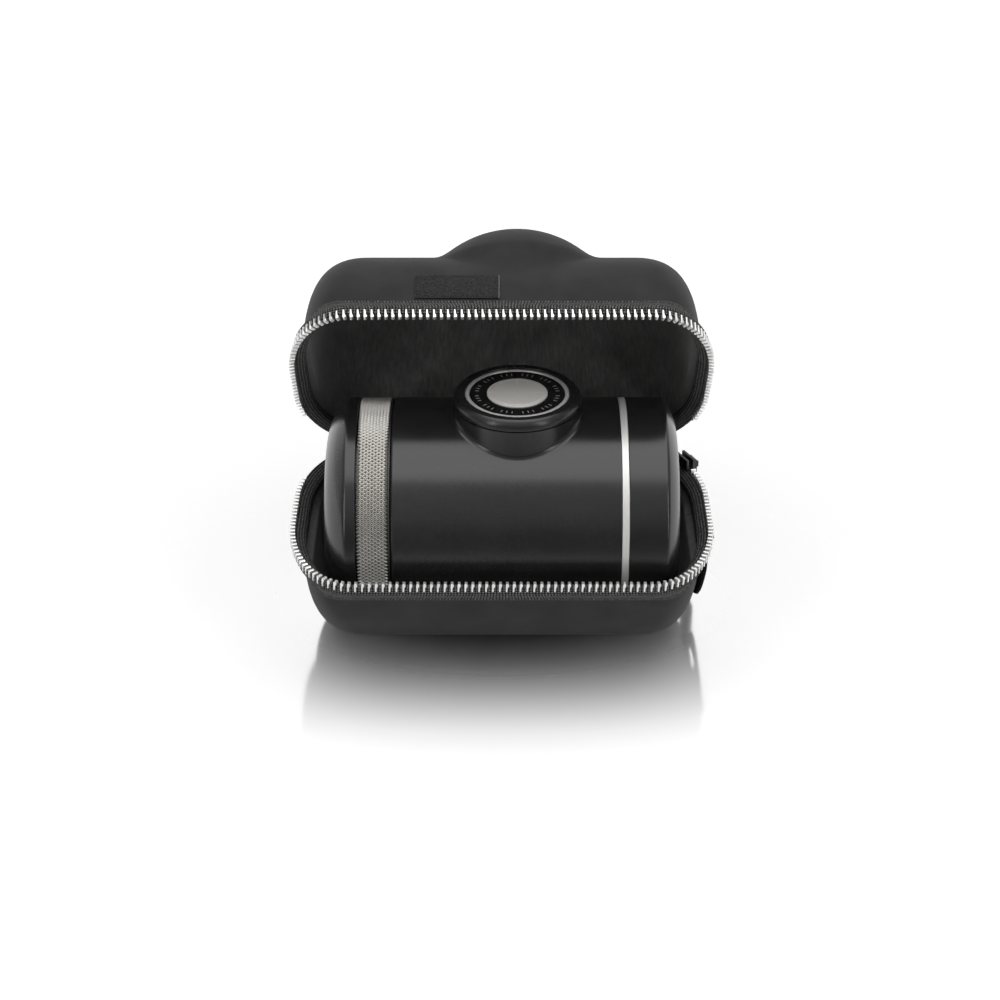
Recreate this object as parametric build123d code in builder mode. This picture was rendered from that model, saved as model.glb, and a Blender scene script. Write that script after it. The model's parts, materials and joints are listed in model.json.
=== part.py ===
"""Handheld manual espresso maker lying in its fitted zip case, with the lid of the case open.

The maker is a cylinder along X. Its left end holds the portafilter, the basket and a cover,
its right end is the water tank, and the pump crosses it upright, under the round knob.
The case is two moulded halves with a zip round three sides and a fabric hinge at the back.

Frame: X along the maker, +Y to the hinge at the back, +Z up. The origin is at the centre of
the flat underside of the case. All sizes are in millimetres.
"""
import os
from math import cos, pi, radians, sin, sqrt

from build123d import *

# ---------------------------------------------------------------- clearances
SEAM = 0.3                      # dark joint line between two outer pieces
RUNNING = 0.06                  # radial clearance of a piece that turns or slides in another
SEAT = 0.1                      # clearance of a piece that is pressed or glued in place
GLUE = 0.2                      # clearance of a lining or a tape on the shell behind it

# ---------------------------------------------------------------- maker: lengths, from its left
COVER_LENGTH = 10.8
COVER_NOSE = 7.6                # length of the rounded shoulder of the cover
COVER_GAP = 0.5
GRIP_WIDTH = 9.3
GRIP_GAP = 0.8
BODY_LENGTH = 69.3
BAND_WIDTH = 2.1
TANK_LID_LENGTH = 16.4
TANK_LID_NOSE = 4.7

# ---------------------------------------------------------------- maker: brewing end
BASKET_RADIUS = 25.9            # outside of a basket for a standard dose
BASKET_WALL = 0.7
BASKET_DEPTH = 17.0
BASKET_FLANGE = 0.5
BASKET_ROOM = 0.54
FLANGE_ROOM = 0.9
COLLAR_WALL = 4.2
CHAMBER_WALL = 4.3
CHAMBER_DEPTH = 13.8
PORTAFILTER_WEB = 2.0
GRIP_DROP = 0.15                # the knurled ring lies this far below the body's surface
KNURL_THICKNESS = 1.25
RING_WALL = 1.3
GASKET_THICKNESS = 1.6
GASKET_WIDTH = 4.2
SHOWER_ROOM = 0.7
SHOWER_THICKNESS = 0.8
SHOWER_STANDOFF = 0.3
SHOWER_HOLE = 0.8
COVER_WALL = 2.0
COVER_SPIGOT_WALL = 1.6
COVER_SPIGOT_DEPTH = 5.0
COVER_SHOULDER = 13.0           # radial depth of the rounded shoulder of an end cap
TANK_SHOULDER = 11.0
CAP_CROWN = 0.7
CAP_EDGE_ROUND = 0.8

# ---------------------------------------------------------------- maker: water tank end
BAND_THICKNESS = 2.5
NECK_WALL = 1.8
NECK_LENGTH = 7.0
PUMP_WALL = 2.25                # between the pump and the tank
TANK_LID_WALL = 2.2
TANK_SEAL = 1.5

# ---------------------------------------------------------------- maker: pump and knob
KNOB_OFFSET = 3.4               # from the middle of the body towards the tank
BOSS_RADIUS = 19.6
BOSS_RISE = 2.7
BOSS_FILLET = 2.0
KNOB_HEIGHT = 3.4
KNOB_TAPER = 1.53
KNOB_RIM = 2.14
KNOB_EDGE_ROUND = 0.8
KNOB_RECESS = 1.2
KNOB_WEB = 0.5
BEZEL_WIDTH = 1.33
BEZEL_THICKNESS = 0.9
DIAL_THICKNESS = 0.6
BADGE_RADIUS = 9.23
BADGE_THICKNESS = 1.0
BADGE_MARGIN = 1.03
BADGE_GROOVE = 0.3
LINER_OUTER = 11.9
LINER_WALL = 1.4
LINER_LENGTH = 48.0
BUSH_DEPTH = 0.9
BUSH_LENGTH = 4.8
SUMP_DEPTH = 8.0
HEAD_LENGTH = 8.0
SEAL_GROOVE = 1.0
SEAL_WIDTH = 1.8
ROD_RADIUS = 5.5
SPRING_LENGTH = 22.0
SPRING_RADIUS = 7.6
SPRING_WIRE = 1.3
SPRING_TURNS = 5
PASSAGE_RADIUS = 3.6
PASSAGE_RISE = 4.4
VALVE_LENGTH = 4.0
VALVE_BORE = 1.2

# ---------------------------------------------------------------- case
RIM_DROP = 1.0                  # the zip line lies this far below the maker's axis
BASE_WALL = 2.2
LINING = 0.8
BASE_AIR = 0.3                  # under the maker, and round its sides and ends
SIDE_AIR = 1.2
END_AIR = 3.7
LID_WALL = 1.8
LID_LINING = 0.7
LID_AIR = 0.6
LID_FLAT = 9.58                 # width of the flat along the top of the closed lid
BASE_END_ROUND = 13.0
LID_END_ROUND = 13.8
CORNER_RIM = 20.3
CORNER_WALL = 13.5
CORNER_SHARE = 0.82             # a corner's size along Y, as a share of the half depth there
ROUND_LOSS = 2.0                # a moulded corner tightens this much per mm of wall
SHARE_LOSS = 0.1
FLARE_OUT = 3.5                 # the tape stands this far outside the wall at the ends
FLARE_SIDE = 3.8
FLARE_TOP = 2.8                 # the tape stands upright this far, then runs in to the wall
FLARE_HEIGHT = 8.5
TAPE = 0.6
TAPE_EDGE = 0.9                 # the tape stops this far short of the zip line
TAPE_SKIN = 0.2
LIP_DROP = 3.0
LINING_DROP = 2.0
LID_ANGLE = 54.9                # how far the lid stands open
DOME_RADIUS = 35.0
DOME_WALL = 0.9                 # the shell is stretched thinner over the bump
DOME_AIR = 0.75                 # over the edge of the knob
DOME_SWING = 10.6               # room beside the knob, which the lid sweeps past as it closes
FLARE_STEPS = 7
BOWL_STEPS = 8

# ---------------------------------------------------------------- hinge
HINGE_GAP = 0.3
STRIP_HALF_LENGTH = 28.0
STRIP_THICKNESS = 0.7
STRIP_TOP = 0.8
STRIP_FOOT = 8.0
BEAD_RADIUS = 0.6
BEAD_HALF_LENGTH = 25.0

# ---------------------------------------------------------------- zip, label and loop
ZIP_PITCH = 2.05
ZIP_END = 26.0
TOOTH_HEAD = 0.92
TOOTH_FOOT = 0.6
TOOTH_THICKNESS = 2.2
TOOTH_LENGTH = 3.0
TOOTH_RISE = 0.8
SLIDER_PAST = 5.0               # the slider is parked this far beyond the end of the zip
SLIDER_LENGTH = 7.0
SLIDER_HEIGHT = 5.4
SLIDER_PLATE = 0.8
SLIDER_SLOT = 1.5
SLIDER_EAR = 0.9
SLIDER_POST = 1.6
PULL_LENGTH = 22.0
PULL_WIDTH = 6.0
PULL_THICKNESS = 1.4
PULL_PIN = 0.5
PULL_EYE_WIDTH = 2.8
LABEL_LEFT = -26.2
LABEL_RIGHT = -0.9
LABEL_LOW = 12.0                # angles round the lid, from the zip line
LABEL_HIGH = 27.5
LABEL_THICKNESS = 0.4
LABEL_GAP = 0.1
LOOP_WIDTH = 17.0
LOOP_THICKNESS = 3.2
LOOP_TOP = 4.5
LOOP_BEND = 9.5
LOOP_MIDDLE = 18.0
LOOP_FOOT = 28.0
LOOP_CORNER = 5.0
LOOP_CLEARANCE = 0.4

# ---------------------------------------------------------------- maker: places along its axis
MAKER_LENGTH = (COVER_LENGTH + COVER_GAP + GRIP_WIDTH + GRIP_GAP + BODY_LENGTH
                + BAND_WIDTH + 2 * SEAT + TANK_LID_LENGTH)
COVER_END = -MAKER_LENGTH / 2
COVER_EDGE = COVER_END + COVER_NOSE
COVER_FACE = COVER_END + COVER_LENGTH
GRIP_LEFT = COVER_FACE + COVER_GAP
GRIP_RIGHT = GRIP_LEFT + GRIP_WIDTH
BODY_LEFT = GRIP_RIGHT + GRIP_GAP
BODY_RIGHT = BODY_LEFT + BODY_LENGTH
BAND_LEFT = BODY_RIGHT + SEAT
BAND_RIGHT = BAND_LEFT + BAND_WIDTH
TANK_LID_LEFT = BAND_RIGHT + SEAT
TANK_LID_END = TANK_LID_LEFT + TANK_LID_LENGTH
TANK_LID_EDGE = TANK_LID_END - TANK_LID_NOSE
KNOB_X = (BODY_LEFT + BODY_RIGHT) / 2 + KNOB_OFFSET
CHAMBER_ROOF = BODY_LEFT + CHAMBER_DEPTH
TANK_FLOOR = KNOB_X + LINER_OUTER + SEAT + PUMP_WALL
NECK_END = BODY_RIGHT + NECK_LENGTH

# ---------------------------------------------------------------- maker: radii round its axis
COLLAR_INNER = BASKET_RADIUS + BASKET_ROOM
COLLAR_OUTER = COLLAR_INNER + COLLAR_WALL
CHAMBER_RADIUS = COLLAR_OUTER + RUNNING
BODY_RADIUS = CHAMBER_RADIUS + CHAMBER_WALL
SHOWER_RADIUS = CHAMBER_RADIUS - GASKET_WIDTH - SHOWER_ROOM
GRIP_OUTER = BODY_RADIUS - GRIP_DROP
RING_OUTER = GRIP_OUTER - KNURL_THICKNESS - SEAT
RING_BORE = RING_OUTER - RING_WALL
NECK_RADIUS = BODY_RADIUS - BAND_THICKNESS - SEAT
TANK_RADIUS = NECK_RADIUS - NECK_WALL

# ---------------------------------------------------------------- pump: heights over the axis
BOSS_TOP = BODY_RADIUS + BOSS_RISE
KNOB_FOOT = BOSS_TOP + SEAM
KNOB_TOP = KNOB_FOOT + KNOB_HEIGHT
RECESS_FLOOR = KNOB_TOP - KNOB_RECESS
ROD_TOP = RECESS_FLOOR - KNOB_WEB - SEAT
BUSH_TOP = BOSS_TOP - BUSH_DEPTH
LINER_TOP = BUSH_TOP - BUSH_LENGTH
LINER_FOOT = LINER_TOP - LINER_LENGTH
SUMP_FLOOR = LINER_FOOT - SUMP_DEPTH
HEAD_FOOT = SUMP_FLOOR + SPRING_LENGTH
PASSAGE_HEIGHT = SUMP_FLOOR + PASSAGE_RISE
LINER_BORE = LINER_OUTER - LINER_WALL
HEAD_RADIUS = LINER_BORE - RUNNING
KNOB_LIP_RADIUS = BOSS_RADIUS - KNOB_TAPER
BEZEL_OUTER = KNOB_LIP_RADIUS - KNOB_RIM
BEZEL_INNER = BEZEL_OUTER - BEZEL_WIDTH

# ---------------------------------------------------------------- case: places
BASE_LINING_INSET = BASE_WALL + GLUE
LID_LINING_INSET = LID_WALL + GLUE
DOME_LINING_INSET = DOME_WALL + GLUE
AXIS_Z = BODY_RADIUS + BASE_AIR + LINING + BASE_LINING_INSET
BASE_RADIUS = BODY_RADIUS + SIDE_AIR + LINING + BASE_LINING_INSET
LID_RADIUS = BODY_RADIUS + LID_AIR + LID_LINING + LID_LINING_INSET
BASE_HEIGHT = AXIS_Z - RIM_DROP
LID_HEIGHT = RIM_DROP + sqrt(LID_RADIUS ** 2 - (LID_FLAT / 2) ** 2)
WALL_LENGTH = TANK_LID_END + END_AIR + LINING + BASE_LINING_INSET
RIM_LENGTH = WALL_LENGTH + FLARE_OUT
RIM_DEPTH = BASE_RADIUS + FLARE_SIDE
RIM_Z = BASE_HEIGHT
HINGE_Y = RIM_DEPTH + HINGE_GAP
SLIDER_Y = ZIP_END + SLIDER_PAST
dome_room = DOME_RADIUS - DOME_LINING_INSET - LID_LINING
DOME_CENTRE = KNOB_TOP + DOME_AIR - sqrt(dome_room ** 2 - KNOB_LIP_RADIUS ** 2)
DOME_REACH = BOSS_RADIUS + DOME_SWING

MAKER = Plane(origin=(0, 0, AXIS_Z), x_dir=(1, 0, 0), z_dir=(0, -1, 0))
MAKER_AXIS = Axis((0, 0, AXIS_Z), (1, 0, 0))
PUMP = Plane(origin=(KNOB_X, 0, AXIS_Z), x_dir=(0, 0, 1), z_dir=(0, 1, 0))
PUMP_AXIS = Axis((KNOB_X, 0, AXIS_Z), (0, 0, 1))

# a case half: radius, height, end rounding, and the level of the maker's axis in it
BASE_HALF = (BASE_RADIUS, BASE_HEIGHT, BASE_END_ROUND, -RIM_DROP)
LID_HALF = (LID_RADIUS, LID_HEIGHT, LID_END_ROUND, RIM_DROP)
lean = radians(LID_ANGLE)
BASE = Plane(origin=(0, 0, RIM_Z))
LID = Plane(
    origin=(0, HINGE_Y - HINGE_Y * cos(lean), RIM_Z + HINGE_Y * sin(lean)),
    x_dir=(1, 0, 0),
    z_dir=(0, sin(lean), cos(lean)),
)


# ---------------------------------------------------------------- shapes used many times
def ring_section(plane, start, end, inner, outer):
    """Rectangle that turns into a ring: start and end along the axis, inner and outer radius."""
    with BuildSketch(plane) as section:
        with Locations(((start + end) / 2, (inner + outer) / 2)):
            Rectangle(end - start, outer - inner)
    return section.sketch


def outline_section(plane, points):
    """Closed outline through points, as (place along the axis, radius)."""
    with BuildSketch(plane) as section:
        with BuildLine():
            Polyline(*points, close=True)
        make_face()
    return section.sketch


def case_size(level, half, inset):
    """Half length, half depth and corner sizes of a case half, level mm from the zip line.

    half is (radius, height, end rounding, where the maker's axis lies), and inset is how
    far the wanted skin lies inside the outside of the wall."""
    radius, height, end_round, axis_level = half
    bend = min(1.0, max(0.0, (level - FLARE_TOP) / (FLARE_HEIGHT - FLARE_TOP)))
    flare = (1 + cos(pi * bend)) / 2
    depth_at_level = sqrt((radius - inset) ** 2 - (level - axis_level) ** 2)
    depth = depth_at_level + (RIM_DEPTH - radius) * flare
    run = max(0.0, level - FLARE_HEIGHT) / (height - inset - FLARE_HEIGHT)
    rounding = (end_round - ROUND_LOSS * inset) * (1 - sqrt(max(0.0, 1 - run * run)))
    length = WALL_LENGTH - inset - rounding + (RIM_LENGTH - WALL_LENGTH) * flare
    tightening = 1 + (ROUND_LOSS - 1) * (1 - flare)
    corner = CORNER_WALL + (CORNER_RIM - CORNER_WALL) * flare - tightening * inset
    share = CORNER_SHARE * (1 - SHARE_LOSS * inset * (1 - flare))
    return length, depth, corner, share * depth


def rim_section(plane, length, depth, corner_x, corner_y):
    """Rounded outline with elliptical corners."""
    x, y = length - corner_x, depth - corner_y
    with BuildSketch(plane) as section:
        with BuildLine():
            Line((-x, -depth), (x, -depth))
            EllipticalCenterArc((x, -y), corner_x, corner_y, 270)
            Line((length, -y), (length, y))
            EllipticalCenterArc((x, y), corner_x, corner_y, 0)
            Line((x, depth), (-x, depth))
            EllipticalCenterArc((-x, y), corner_x, corner_y, 90)
            Line((-length, y), (-length, -y))
            EllipticalCenterArc((-x, -y), corner_x, corner_y, 180)
        make_face()
    return section.sketch


def case_skin(frame, grow, half, inset, start, end=None, mode=Mode.ADD):
    """Solid inside one skin of a case half, from start to end mm from the zip line.

    Without an end it runs to the flat bottom of that skin. grow is +1 for the lid, which
    rises from its rim, and -1 for the base."""
    floor = half[1] - inset
    bend_end = end if end else FLARE_HEIGHT
    levels = [start + (bend_end - start) * max(0, step) / FLARE_STEPS
              for step in range(FLARE_STEPS + 1)]
    if start >= FLARE_HEIGHT:
        levels, bend_end = [start], start
    if end is None:
        levels += [bend_end + (floor - bend_end) * sin(pi / 2 * step / BOWL_STEPS)
                   for step in range(1, BOWL_STEPS + 1)]
    sections = [rim_section(frame.offset(grow * level), *case_size(level, half, inset))
                for level in levels]
    loft(sections=sections, ruled=True, mode=mode)


def dome_bump(frame, inset, mode=Mode.ADD):
    """Round bump in the lid over the knob, as a ball cut to an upright round outline."""
    with BuildPart(mode=Mode.PRIVATE) as bump:
        with Locations(frame.offset(DOME_CENTRE + RIM_DROP).location * Pos(KNOB_X, 0, 0)):
            Sphere(DOME_RADIUS - inset)
            Cylinder(DOME_REACH - inset, 2 * DOME_RADIUS, mode=Mode.INTERSECT)
    with BuildPart(mode=Mode.PRIVATE) as upper_half:
        with Locations(frame.offset(DOME_CENTRE).location * Pos(KNOB_X, 0, 0)):
            Cylinder(DOME_RADIUS, 2 * DOME_RADIUS, align=(Align.CENTER, Align.CENTER, Align.MIN))
    add(bump.part & upper_half.part, mode=mode)


def zip_path(frame, inset):
    """Line of the zip in the rim plane, from the right back corner round the front."""
    length, depth, corner_x, corner_y = case_size(0, BASE_HALF, inset)
    x, y = length - corner_x, depth - corner_y
    turn = asin_degrees((ZIP_END - y) / corner_y)
    with BuildLine(frame) as path:
        EllipticalCenterArc((x, y), corner_x, corner_y, turn, arc_size=-turn)
        Line((length, y), (length, -y))
        EllipticalCenterArc((x, -y), corner_x, corner_y, 0, arc_size=-90)
        Line((x, -depth), (-x, -depth))
        EllipticalCenterArc((-x, -y), corner_x, corner_y, 270, arc_size=-90)
        Line((-length, -y), (-length, y))
        EllipticalCenterArc((-x, y), corner_x, corner_y, 180, arc_size=-turn)
    return path.wire()


def asin_degrees(value):
    """Angle in degrees whose sine is value."""
    return Vector(1, 0).get_angle(Vector(sqrt(1 - value * value), value))


def zip_teeth(frame, grow, shift):
    """One row of teeth along the zip line; shift is the first tooth's place in pitches."""
    path = zip_path(frame, TAPE / 2)
    count = int(path.length / ZIP_PITCH) - 1
    inward = frame.z_dir * grow
    spots = []
    for index in range(count):
        place = (index + shift) * ZIP_PITCH / path.length
        tangent = path % place
        origin = path @ place - inward * TOOTH_RISE
        spots.append(Plane(origin=origin, x_dir=tangent, z_dir=tangent.cross(inward)).location)
    side = (TOOTH_HEAD - TOOTH_FOOT) / 2
    with Locations(*spots):
        Wedge(
            TOOTH_HEAD, TOOTH_LENGTH, TOOTH_THICKNESS,
            side, side, TOOTH_HEAD - side, TOOTH_THICKNESS - side,
            align=(Align.CENTER, Align.MIN, Align.CENTER),
        )


def save(piece, label):
    """Name a finished piece and write it to its own STEP file."""
    piece.part.label = label
    export_step(piece.part, f"parts/{label}.step")


os.makedirs("parts", exist_ok=True)

# ================================================================ the maker
# ---------------------------------------------------------------- main body
with BuildPart() as main_body:
    revolve(ring_section(MAKER, BODY_LEFT, BODY_RIGHT, 0, BODY_RADIUS), axis=MAKER_AXIS)
    with BuildSketch(Plane.XY.offset(AXIS_Z)):
        with Locations((KNOB_X, 0)):
            Circle(BOSS_RADIUS)
    extrude(amount=BOSS_TOP)
    fillet(main_body.edges().filter_by(GeomType.BSPLINE), BOSS_FILLET)
    left_rim = main_body.edges().filter_by(GeomType.CIRCLE).sort_by(Axis.X)[0]
    chamfer(left_rim, SEAM * 2)
    revolve(ring_section(MAKER, BODY_RIGHT, NECK_END, 0, NECK_RADIUS), axis=MAKER_AXIS)
    revolve(
        ring_section(MAKER, BODY_LEFT, CHAMBER_ROOF, 0, CHAMBER_RADIUS),
        axis=MAKER_AXIS, mode=Mode.SUBTRACT,
    )
    revolve(
        ring_section(MAKER, TANK_FLOOR, NECK_END, 0, TANK_RADIUS),
        axis=MAKER_AXIS, mode=Mode.SUBTRACT,
    )
    revolve(
        ring_section(PUMP, SUMP_FLOOR, BOSS_TOP, 0, LINER_OUTER + SEAT),
        axis=PUMP_AXIS, mode=Mode.SUBTRACT,
    )
    with BuildSketch(Plane.YZ.offset(CHAMBER_ROOF)):
        with Locations((0, AXIS_Z + PASSAGE_HEIGHT)):
            Circle(PASSAGE_RADIUS)
    extrude(amount=TANK_FLOOR - CHAMBER_ROOF, mode=Mode.SUBTRACT)
save(main_body, "main_body")

# ---------------------------------------------------------------- water tank end
with BuildPart() as steel_band:
    revolve(
        ring_section(MAKER, BAND_LEFT, BAND_RIGHT, NECK_RADIUS + SEAT, BODY_RADIUS),
        axis=MAKER_AXIS,
    )
    chamfer(steel_band.edges().filter_by(GeomType.CIRCLE).group_by(SortBy.RADIUS)[-1], SEAT)
save(steel_band, "steel_band")

with BuildPart() as tank_lid:
    inner_end = TANK_LID_END - TANK_LID_WALL
    shoulder = NECK_END + TANK_SEAL
    bore = NECK_RADIUS + RUNNING
    tank_nose_radius = BODY_RADIUS - TANK_SHOULDER
    nose = (TANK_LID_END - CAP_CROWN, tank_nose_radius)
    with BuildSketch(MAKER):
        with BuildLine():
            Polyline(
                (TANK_LID_END, 0), (inner_end, 0), (inner_end, tank_nose_radius),
                (TANK_LID_EDGE, TANK_RADIUS), (shoulder, TANK_RADIUS), (shoulder, bore),
                (TANK_LID_LEFT, bore), (TANK_LID_LEFT, BODY_RADIUS),
                (TANK_LID_EDGE, BODY_RADIUS),
            )
            TangentArc((TANK_LID_EDGE, BODY_RADIUS), nose, tangent=(1, -1.2))
            TangentArc((TANK_LID_END, 0), nose, tangent=(0, 1))
        make_face()
    revolve(axis=MAKER_AXIS)
    lid_edge = tank_lid.edges().filter_by(GeomType.CIRCLE).filter_by_position(
        Axis.X, TANK_LID_EDGE - SEAM, TANK_LID_EDGE + SEAM).sort_by(SortBy.RADIUS)[-1]
    fillet(lid_edge, CAP_EDGE_ROUND)
save(tank_lid, "tank_lid")

with BuildPart() as tank_lid_seal:
    revolve(
        ring_section(MAKER, NECK_END, shoulder, TANK_RADIUS, NECK_RADIUS - SEAT),
        axis=MAKER_AXIS,
    )
save(tank_lid_seal, "tank_lid_seal")

# ---------------------------------------------------------------- brewing end
gasket_left = CHAMBER_ROOF - GASKET_THICKNESS
flange_left = gasket_left - BASKET_FLANGE
web_left = GRIP_RIGHT - PORTAFILTER_WEB

with BuildPart() as chamber_gasket:
    revolve(
        ring_section(MAKER, gasket_left, CHAMBER_ROOF, CHAMBER_RADIUS - GASKET_WIDTH,
                     CHAMBER_RADIUS - SEAT),
        axis=MAKER_AXIS,
    )
save(chamber_gasket, "chamber_gasket")

with BuildPart() as shower_plate:
    plate_left = CHAMBER_ROOF - SHOWER_STANDOFF - SHOWER_THICKNESS
    revolve(
        ring_section(MAKER, plate_left, plate_left + SHOWER_THICKNESS, 0, SHOWER_RADIUS),
        axis=MAKER_AXIS,
    )
    with BuildSketch(Plane.YZ.offset(plate_left)):
        with Locations((0, AXIS_Z)):
            with PolarLocations(SHOWER_RADIUS * 0.35, 6):
                Circle(SHOWER_HOLE)
            with PolarLocations(SHOWER_RADIUS * 0.7, 12):
                Circle(SHOWER_HOLE)
    extrude(amount=SHOWER_THICKNESS, mode=Mode.SUBTRACT)
save(shower_plate, "shower_plate")

with BuildPart() as basket:
    basket_end = flange_left - BASKET_DEPTH
    cup_inner = BASKET_RADIUS - BASKET_WALL
    flange_radius = CHAMBER_RADIUS - FLANGE_ROOM
    revolve(
        outline_section(MAKER, [
            (basket_end, 0), (basket_end, BASKET_RADIUS), (flange_left, BASKET_RADIUS),
            (flange_left, flange_radius), (gasket_left, flange_radius),
            (gasket_left, cup_inner), (basket_end + BASKET_WALL, cup_inner),
            (basket_end + BASKET_WALL, 0),
        ]),
        axis=MAKER_AXIS,
    )
save(basket, "basket")

with BuildPart() as portafilter:
    revolve(
        outline_section(MAKER, [
            (GRIP_LEFT, RING_BORE), (GRIP_LEFT, RING_OUTER), (GRIP_RIGHT, RING_OUTER),
            (GRIP_RIGHT, GRIP_OUTER - SEAT), (BODY_LEFT - SEAM, GRIP_OUTER - SEAT),
            (BODY_LEFT - SEAM, COLLAR_OUTER), (flange_left, COLLAR_OUTER),
            (flange_left, COLLAR_INNER), (web_left, COLLAR_INNER), (web_left, RING_BORE),
        ]),
        axis=MAKER_AXIS,
    )
save(portafilter, "portafilter")

with BuildPart() as knurled_ring:
    revolve(
        ring_section(MAKER, GRIP_LEFT, GRIP_RIGHT - SEAT, RING_OUTER + SEAT, GRIP_OUTER),
        axis=MAKER_AXIS,
    )
    chamfer(knurled_ring.edges().filter_by(GeomType.CIRCLE).group_by(SortBy.RADIUS)[-1], SEAM)
save(knurled_ring, "knurled_ring")

with BuildPart() as portafilter_cover:
    spigot_outer = RING_BORE - RUNNING
    spigot_inner = spigot_outer - COVER_SPIGOT_WALL
    spigot_right = COVER_FACE + COVER_SPIGOT_DEPTH
    inner_end = COVER_END + COVER_WALL
    cover_nose_radius = BODY_RADIUS - COVER_SHOULDER
    nose = (COVER_END + CAP_CROWN, cover_nose_radius)
    with BuildSketch(MAKER):
        with BuildLine():
            Polyline(
                (COVER_END, 0), (inner_end, 0), (inner_end, cover_nose_radius - COVER_WALL),
                (COVER_EDGE, spigot_inner), (spigot_right, spigot_inner),
                (spigot_right, spigot_outer), (COVER_FACE, spigot_outer),
                (COVER_FACE, BODY_RADIUS), (COVER_EDGE, BODY_RADIUS),
            )
            TangentArc((COVER_EDGE, BODY_RADIUS), nose, tangent=(-1, -0.8))
            TangentArc((COVER_END, 0), nose, tangent=(0, 1))
        make_face()
    revolve(axis=MAKER_AXIS)
save(portafilter_cover, "portafilter_cover")

# ---------------------------------------------------------------- pump
with BuildPart() as pump_liner:
    revolve(ring_section(PUMP, LINER_FOOT, LINER_TOP, LINER_BORE, LINER_OUTER), axis=PUMP_AXIS)
save(pump_liner, "pump_liner")

with BuildPart() as guide_bush:
    revolve(
        ring_section(PUMP, LINER_TOP, BUSH_TOP, ROD_RADIUS + RUNNING, LINER_OUTER),
        axis=PUMP_AXIS,
    )
save(guide_bush, "guide_bush")

head_top = HEAD_FOOT + HEAD_LENGTH
groove_foot = HEAD_FOOT + (HEAD_LENGTH - SEAL_WIDTH) / 2
with BuildPart() as piston_head:
    revolve(ring_section(PUMP, HEAD_FOOT, head_top, 0, HEAD_RADIUS), axis=PUMP_AXIS)
    revolve(
        ring_section(PUMP, groove_foot, groove_foot + SEAL_WIDTH, HEAD_RADIUS - SEAL_GROOVE,
                     HEAD_RADIUS + 1),
        axis=PUMP_AXIS, mode=Mode.SUBTRACT,
    )
save(piston_head, "piston_head")

with BuildPart() as piston_seal:
    revolve(
        ring_section(PUMP, groove_foot, groove_foot + SEAL_WIDTH, HEAD_RADIUS - SEAL_GROOVE,
                     HEAD_RADIUS + RUNNING / 2),
        axis=PUMP_AXIS,
    )
save(piston_seal, "piston_seal")

with BuildPart() as piston_rod:
    revolve(ring_section(PUMP, head_top, ROD_TOP, 0, ROD_RADIUS), axis=PUMP_AXIS)
save(piston_rod, "piston_rod")

with BuildPart() as return_spring:
    spring_height = HEAD_FOOT - SUMP_FLOOR - SPRING_WIRE
    with BuildLine(Plane(origin=(KNOB_X, 0, AXIS_Z + SUMP_FLOOR + SPRING_WIRE / 2))) as coil:
        Helix(spring_height / SPRING_TURNS, spring_height, SPRING_RADIUS)
    with BuildSketch(Plane(origin=coil.line @ 0, z_dir=coil.line % 0)):
        RegularPolygon(SPRING_WIRE / 2, 6)
    sweep(path=coil.line, is_frenet=True)
save(return_spring, "return_spring")

for label, left in (
    ("outlet_valve", CHAMBER_ROOF + SEAM),
    ("inlet_valve", TANK_FLOOR - VALVE_LENGTH),
):
    with BuildPart() as valve:
        with BuildSketch(Plane.YZ.offset(left)):
            with Locations((0, AXIS_Z + PASSAGE_HEIGHT)):
                Circle(PASSAGE_RADIUS - SEAT)
                Circle(VALVE_BORE, mode=Mode.SUBTRACT)
        extrude(amount=VALVE_LENGTH)
    save(valve, label)

# ---------------------------------------------------------------- knob
with BuildPart() as piston_knob:
    with BuildSketch(PUMP):
        with BuildLine():
            lip = KNOB_LIP_RADIUS
            top_arc_end = (KNOB_TOP - KNOB_EDGE_ROUND, lip + KNOB_EDGE_ROUND)
            wall = Polyline(
                (KNOB_FOOT, ROD_RADIUS + RUNNING), (ROD_TOP + SEAT, ROD_RADIUS + RUNNING),
                (ROD_TOP + SEAT, 0), (RECESS_FLOOR, 0), (RECESS_FLOOR, BEZEL_OUTER + SEAT),
                (KNOB_TOP, BEZEL_OUTER + SEAT), (KNOB_TOP, lip),
            )
            SagittaArc(wall @ 1, top_arc_end, -KNOB_EDGE_ROUND / 4)
            SagittaArc(top_arc_end, (KNOB_FOOT, BOSS_RADIUS), -KNOB_EDGE_ROUND / 3)
            Line((KNOB_FOOT, BOSS_RADIUS), (KNOB_FOOT, ROD_RADIUS + RUNNING))
        make_face()
    revolve(axis=PUMP_AXIS)
save(piston_knob, "piston_knob")

with BuildPart() as knob_bezel:
    revolve(
        ring_section(PUMP, RECESS_FLOOR, RECESS_FLOOR + BEZEL_THICKNESS, BEZEL_INNER,
                     BEZEL_OUTER),
        axis=PUMP_AXIS,
    )
save(knob_bezel, "knob_bezel")

with BuildPart() as knob_dial:
    revolve(
        ring_section(PUMP, RECESS_FLOOR, RECESS_FLOOR + DIAL_THICKNESS, BADGE_RADIUS + SEAT,
                     BEZEL_INNER - SEAT),
        axis=PUMP_AXIS,
    )
save(knob_dial, "knob_dial")

with BuildPart() as knob_badge:
    badge_top = RECESS_FLOOR + BADGE_THICKNESS
    groove_radius = BADGE_RADIUS - BADGE_MARGIN
    revolve(ring_section(PUMP, RECESS_FLOOR, badge_top, 0, BADGE_RADIUS), axis=PUMP_AXIS)
    revolve(
        ring_section(PUMP, badge_top - BADGE_GROOVE, badge_top,
                     groove_radius - BADGE_GROOVE, groove_radius),
        axis=PUMP_AXIS, mode=Mode.SUBTRACT,
    )
save(knob_badge, "knob_badge")

# ================================================================ the case
tape_foot = FLARE_HEIGHT
tape_inset = TAPE + TAPE_SKIN

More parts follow.
